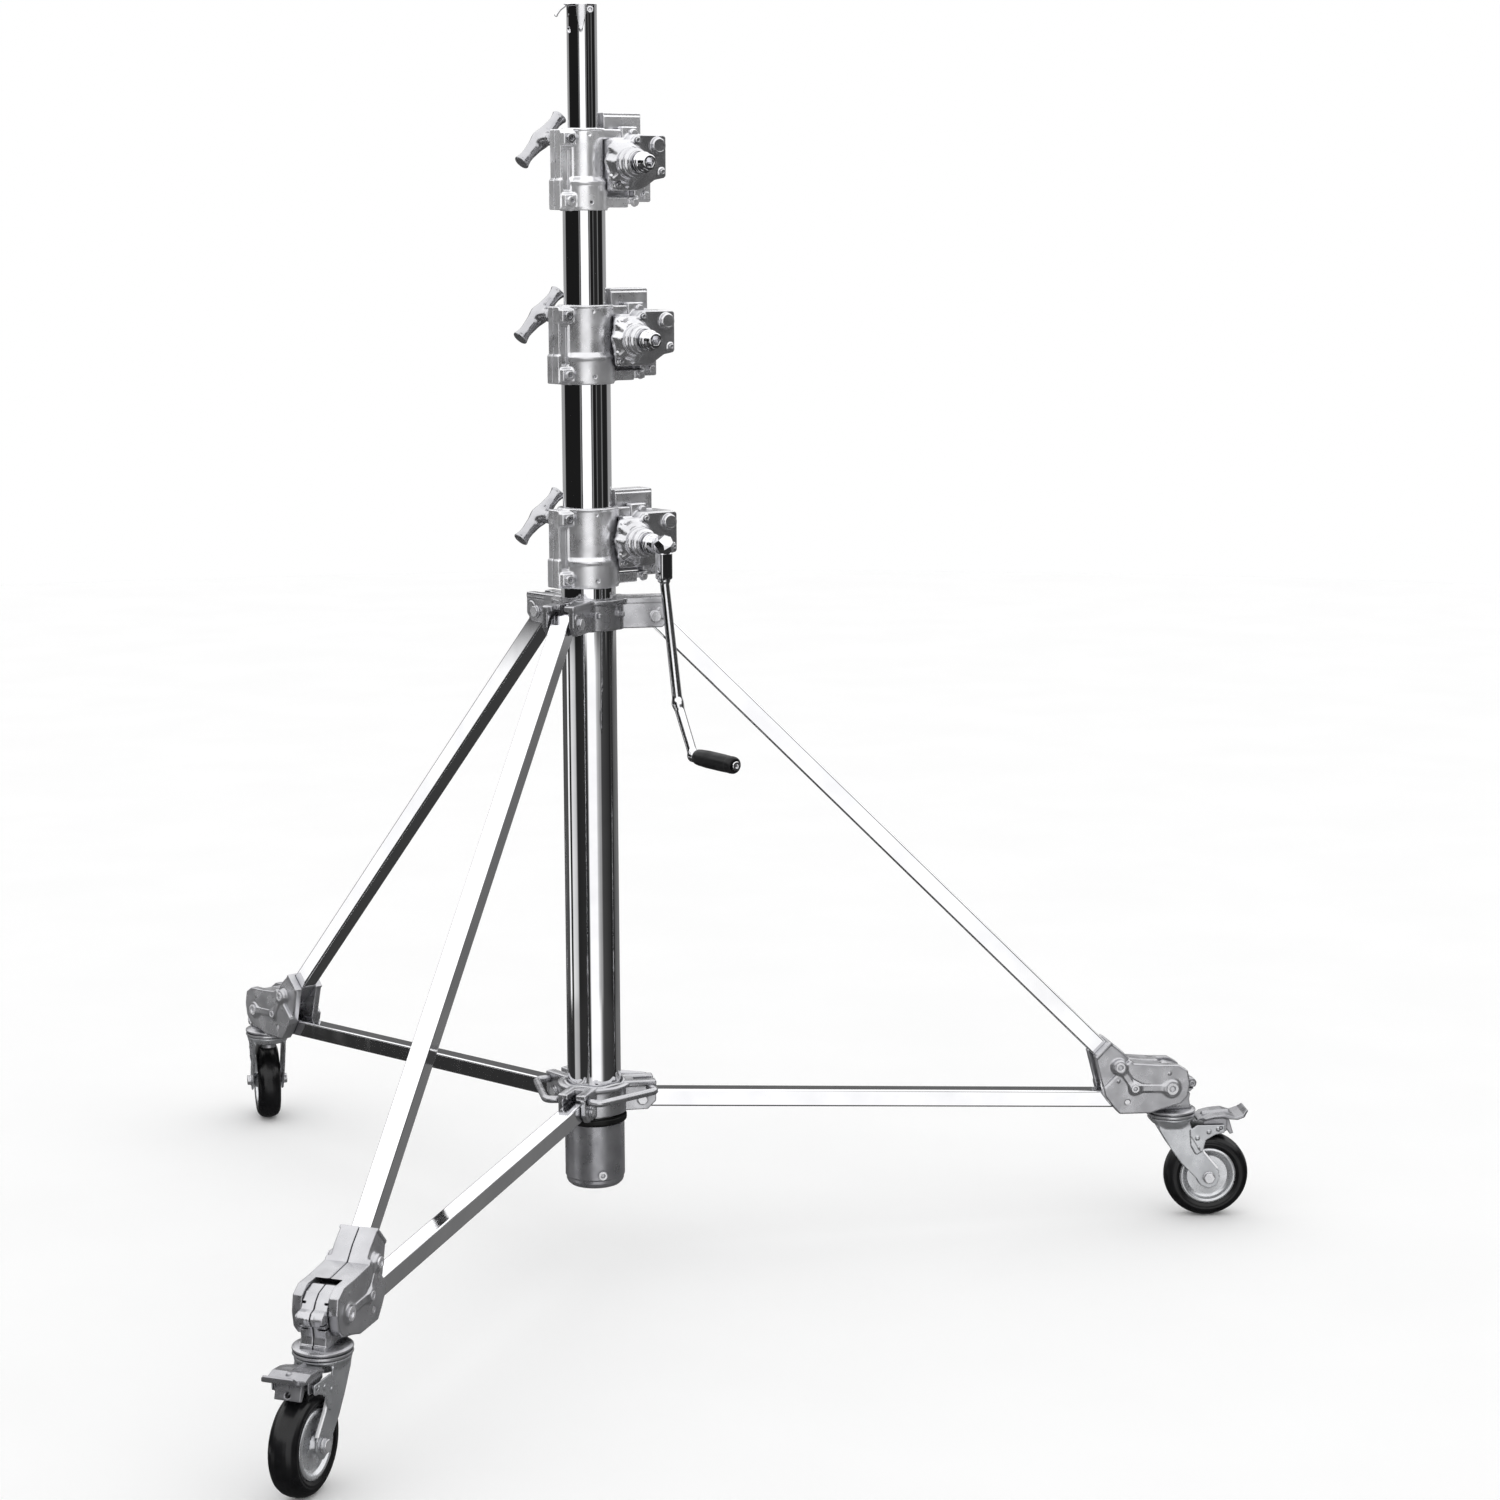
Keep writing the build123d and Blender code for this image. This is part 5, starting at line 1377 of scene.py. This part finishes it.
def studio():
    """White room for the eye and for diffuse light; soft boxes and dark flats for reflections."""
    world = bpy.data.worlds.new("studio")
    bpy.context.scene.world = world
    world.use_nodes = True
    world.cycles.sampling_method = "NONE"
    tree = world.node_tree
    tree.nodes.clear()

    def node(kind, *inputs, **settings):
        return add_node(tree, kind, dict(enumerate(inputs)), **settings).outputs

    def calc(operation, *inputs):
        return node("Math", *inputs, operation=operation)[0]

    def step(value, edge, soft):
        """0 below an edge, 1 above it."""
        return node("MapRange", value, edge - soft, edge + soft, 0.0, 1.0,
                    interpolation_type="SMOOTHSTEP")[0]

    def blend(share, low, high):
        return calc("ADD", low, calc("MULTIPLY", share, calc("SUBTRACT", high, low)))

    way = node("TexCoord")[0]
    part = node("SeparateXYZ", way)
    rise = calc("MULTIPLY", calc("ARCSINE", part[2]), 180 / math.pi)
    bearing = calc("MULTIPLY", calc("ARCTAN2", part[1], part[0]), 180 / math.pi)
    bearing = calc("WRAP", calc("SUBTRACT", bearing, VIEW_AZIMUTH), 180.0, -180.0)
    share = calc("DIVIDE", calc("ADD", bearing, 180.0), 360.0)

    def band(points):
        made = tree.nodes.new("ShaderNodeFloatCurve")
        line = made.mapping.curves[0]
        top = max(value for _, value in points)
        spots = [((azimuth + 180) / 360, value / top) for azimuth, value in points]
        line.points[0].location = spots[0]
        line.points[1].location = spots[-1]
        for spot in spots[1:-1]:
            line.points.new(*spot)
        for point in line.points:
            point.handle_type = "VECTOR"
        made.mapping.update()
        tree.links.new(share, made.inputs["Value"])
        return calc("MULTIPLY", made.outputs[0], top)

    high, low, floor = band(HIGH_BAND), band(LOW_BAND), band(FLOOR_BAND)
    light = blend(step(rise, *FLOOR_STARTS), UNDER_LIGHT, floor)
    light = blend(step(rise, *LOW_STARTS), light, low)
    light = blend(step(rise, *HIGH_STARTS), light, high)
    behind = step(calc("ABSOLUTE", bearing), *BACK_STARTS)
    light = blend(step(rise, *WALL_STARTS), light, blend(behind, high, BACK_LIGHT))
    light = blend(step(rise, *CEILING_STARTS), light, CEILING_LIGHT)
    ray = node("LightPath")
    light = blend(ray["Is Diffuse Ray"], light, 1.0)
    light = blend(ray["Is Camera Ray"], light, 1.0)
    background = node("Background", (1, 1, 1, 1), light)[0]
    node("OutputWorld", background)


def floor_sheet():
    """Pale floor that shows contact shadows and is not seen in the metal."""
    bpy.ops.mesh.primitive_circle_add(vertices=96, radius=9.0, fill_type="NGON", location=(0, 0, -0.0005))
    sheet = bpy.context.object
    sheet.name = "floor_sheet"
    s = Shader("floor_paper", Roughness=0.9)
    s.use("Base Color", s.ramp(s.noise(3, 2), (0.985, 0.985, 0.985), (1.0, 1.0, 1.0)))
    sheet.data.materials.append(s.material)
    sheet.visible_glossy = False


def camera():
    """The photo's camera, solved from the stand's proportions."""
    yaw, down, roll = (math.radians(v) for v in (CAMERA_YAW, CAMERA_DOWN, CAMERA_ROLL))
    ahead = Vector((math.sin(yaw) * math.cos(down), math.cos(yaw) * math.cos(down), -math.sin(down)))
    right = Vector((math.cos(yaw), -math.sin(yaw), 0))
    up = right.cross(ahead)
    c, s = math.cos(roll), math.sin(roll)
    right, up = right * c + up * s, up * c - right * s
    data = bpy.data.cameras.new("photo_camera")
    data.lens = CAMERA_LENS
    data.sensor_width = 36
    data.clip_end = 100
    made = bpy.data.objects.new("photo_camera", data)
    made.matrix_world = Matrix((right, up, -ahead)).transposed().to_4x4()
    made.location = CAMERA_AT
    bpy.context.scene.collection.objects.link(made)
    bpy.context.scene.camera = made


studio()
floor_sheet()
camera()
bpy.context.scene.view_settings.view_transform = "Standard"
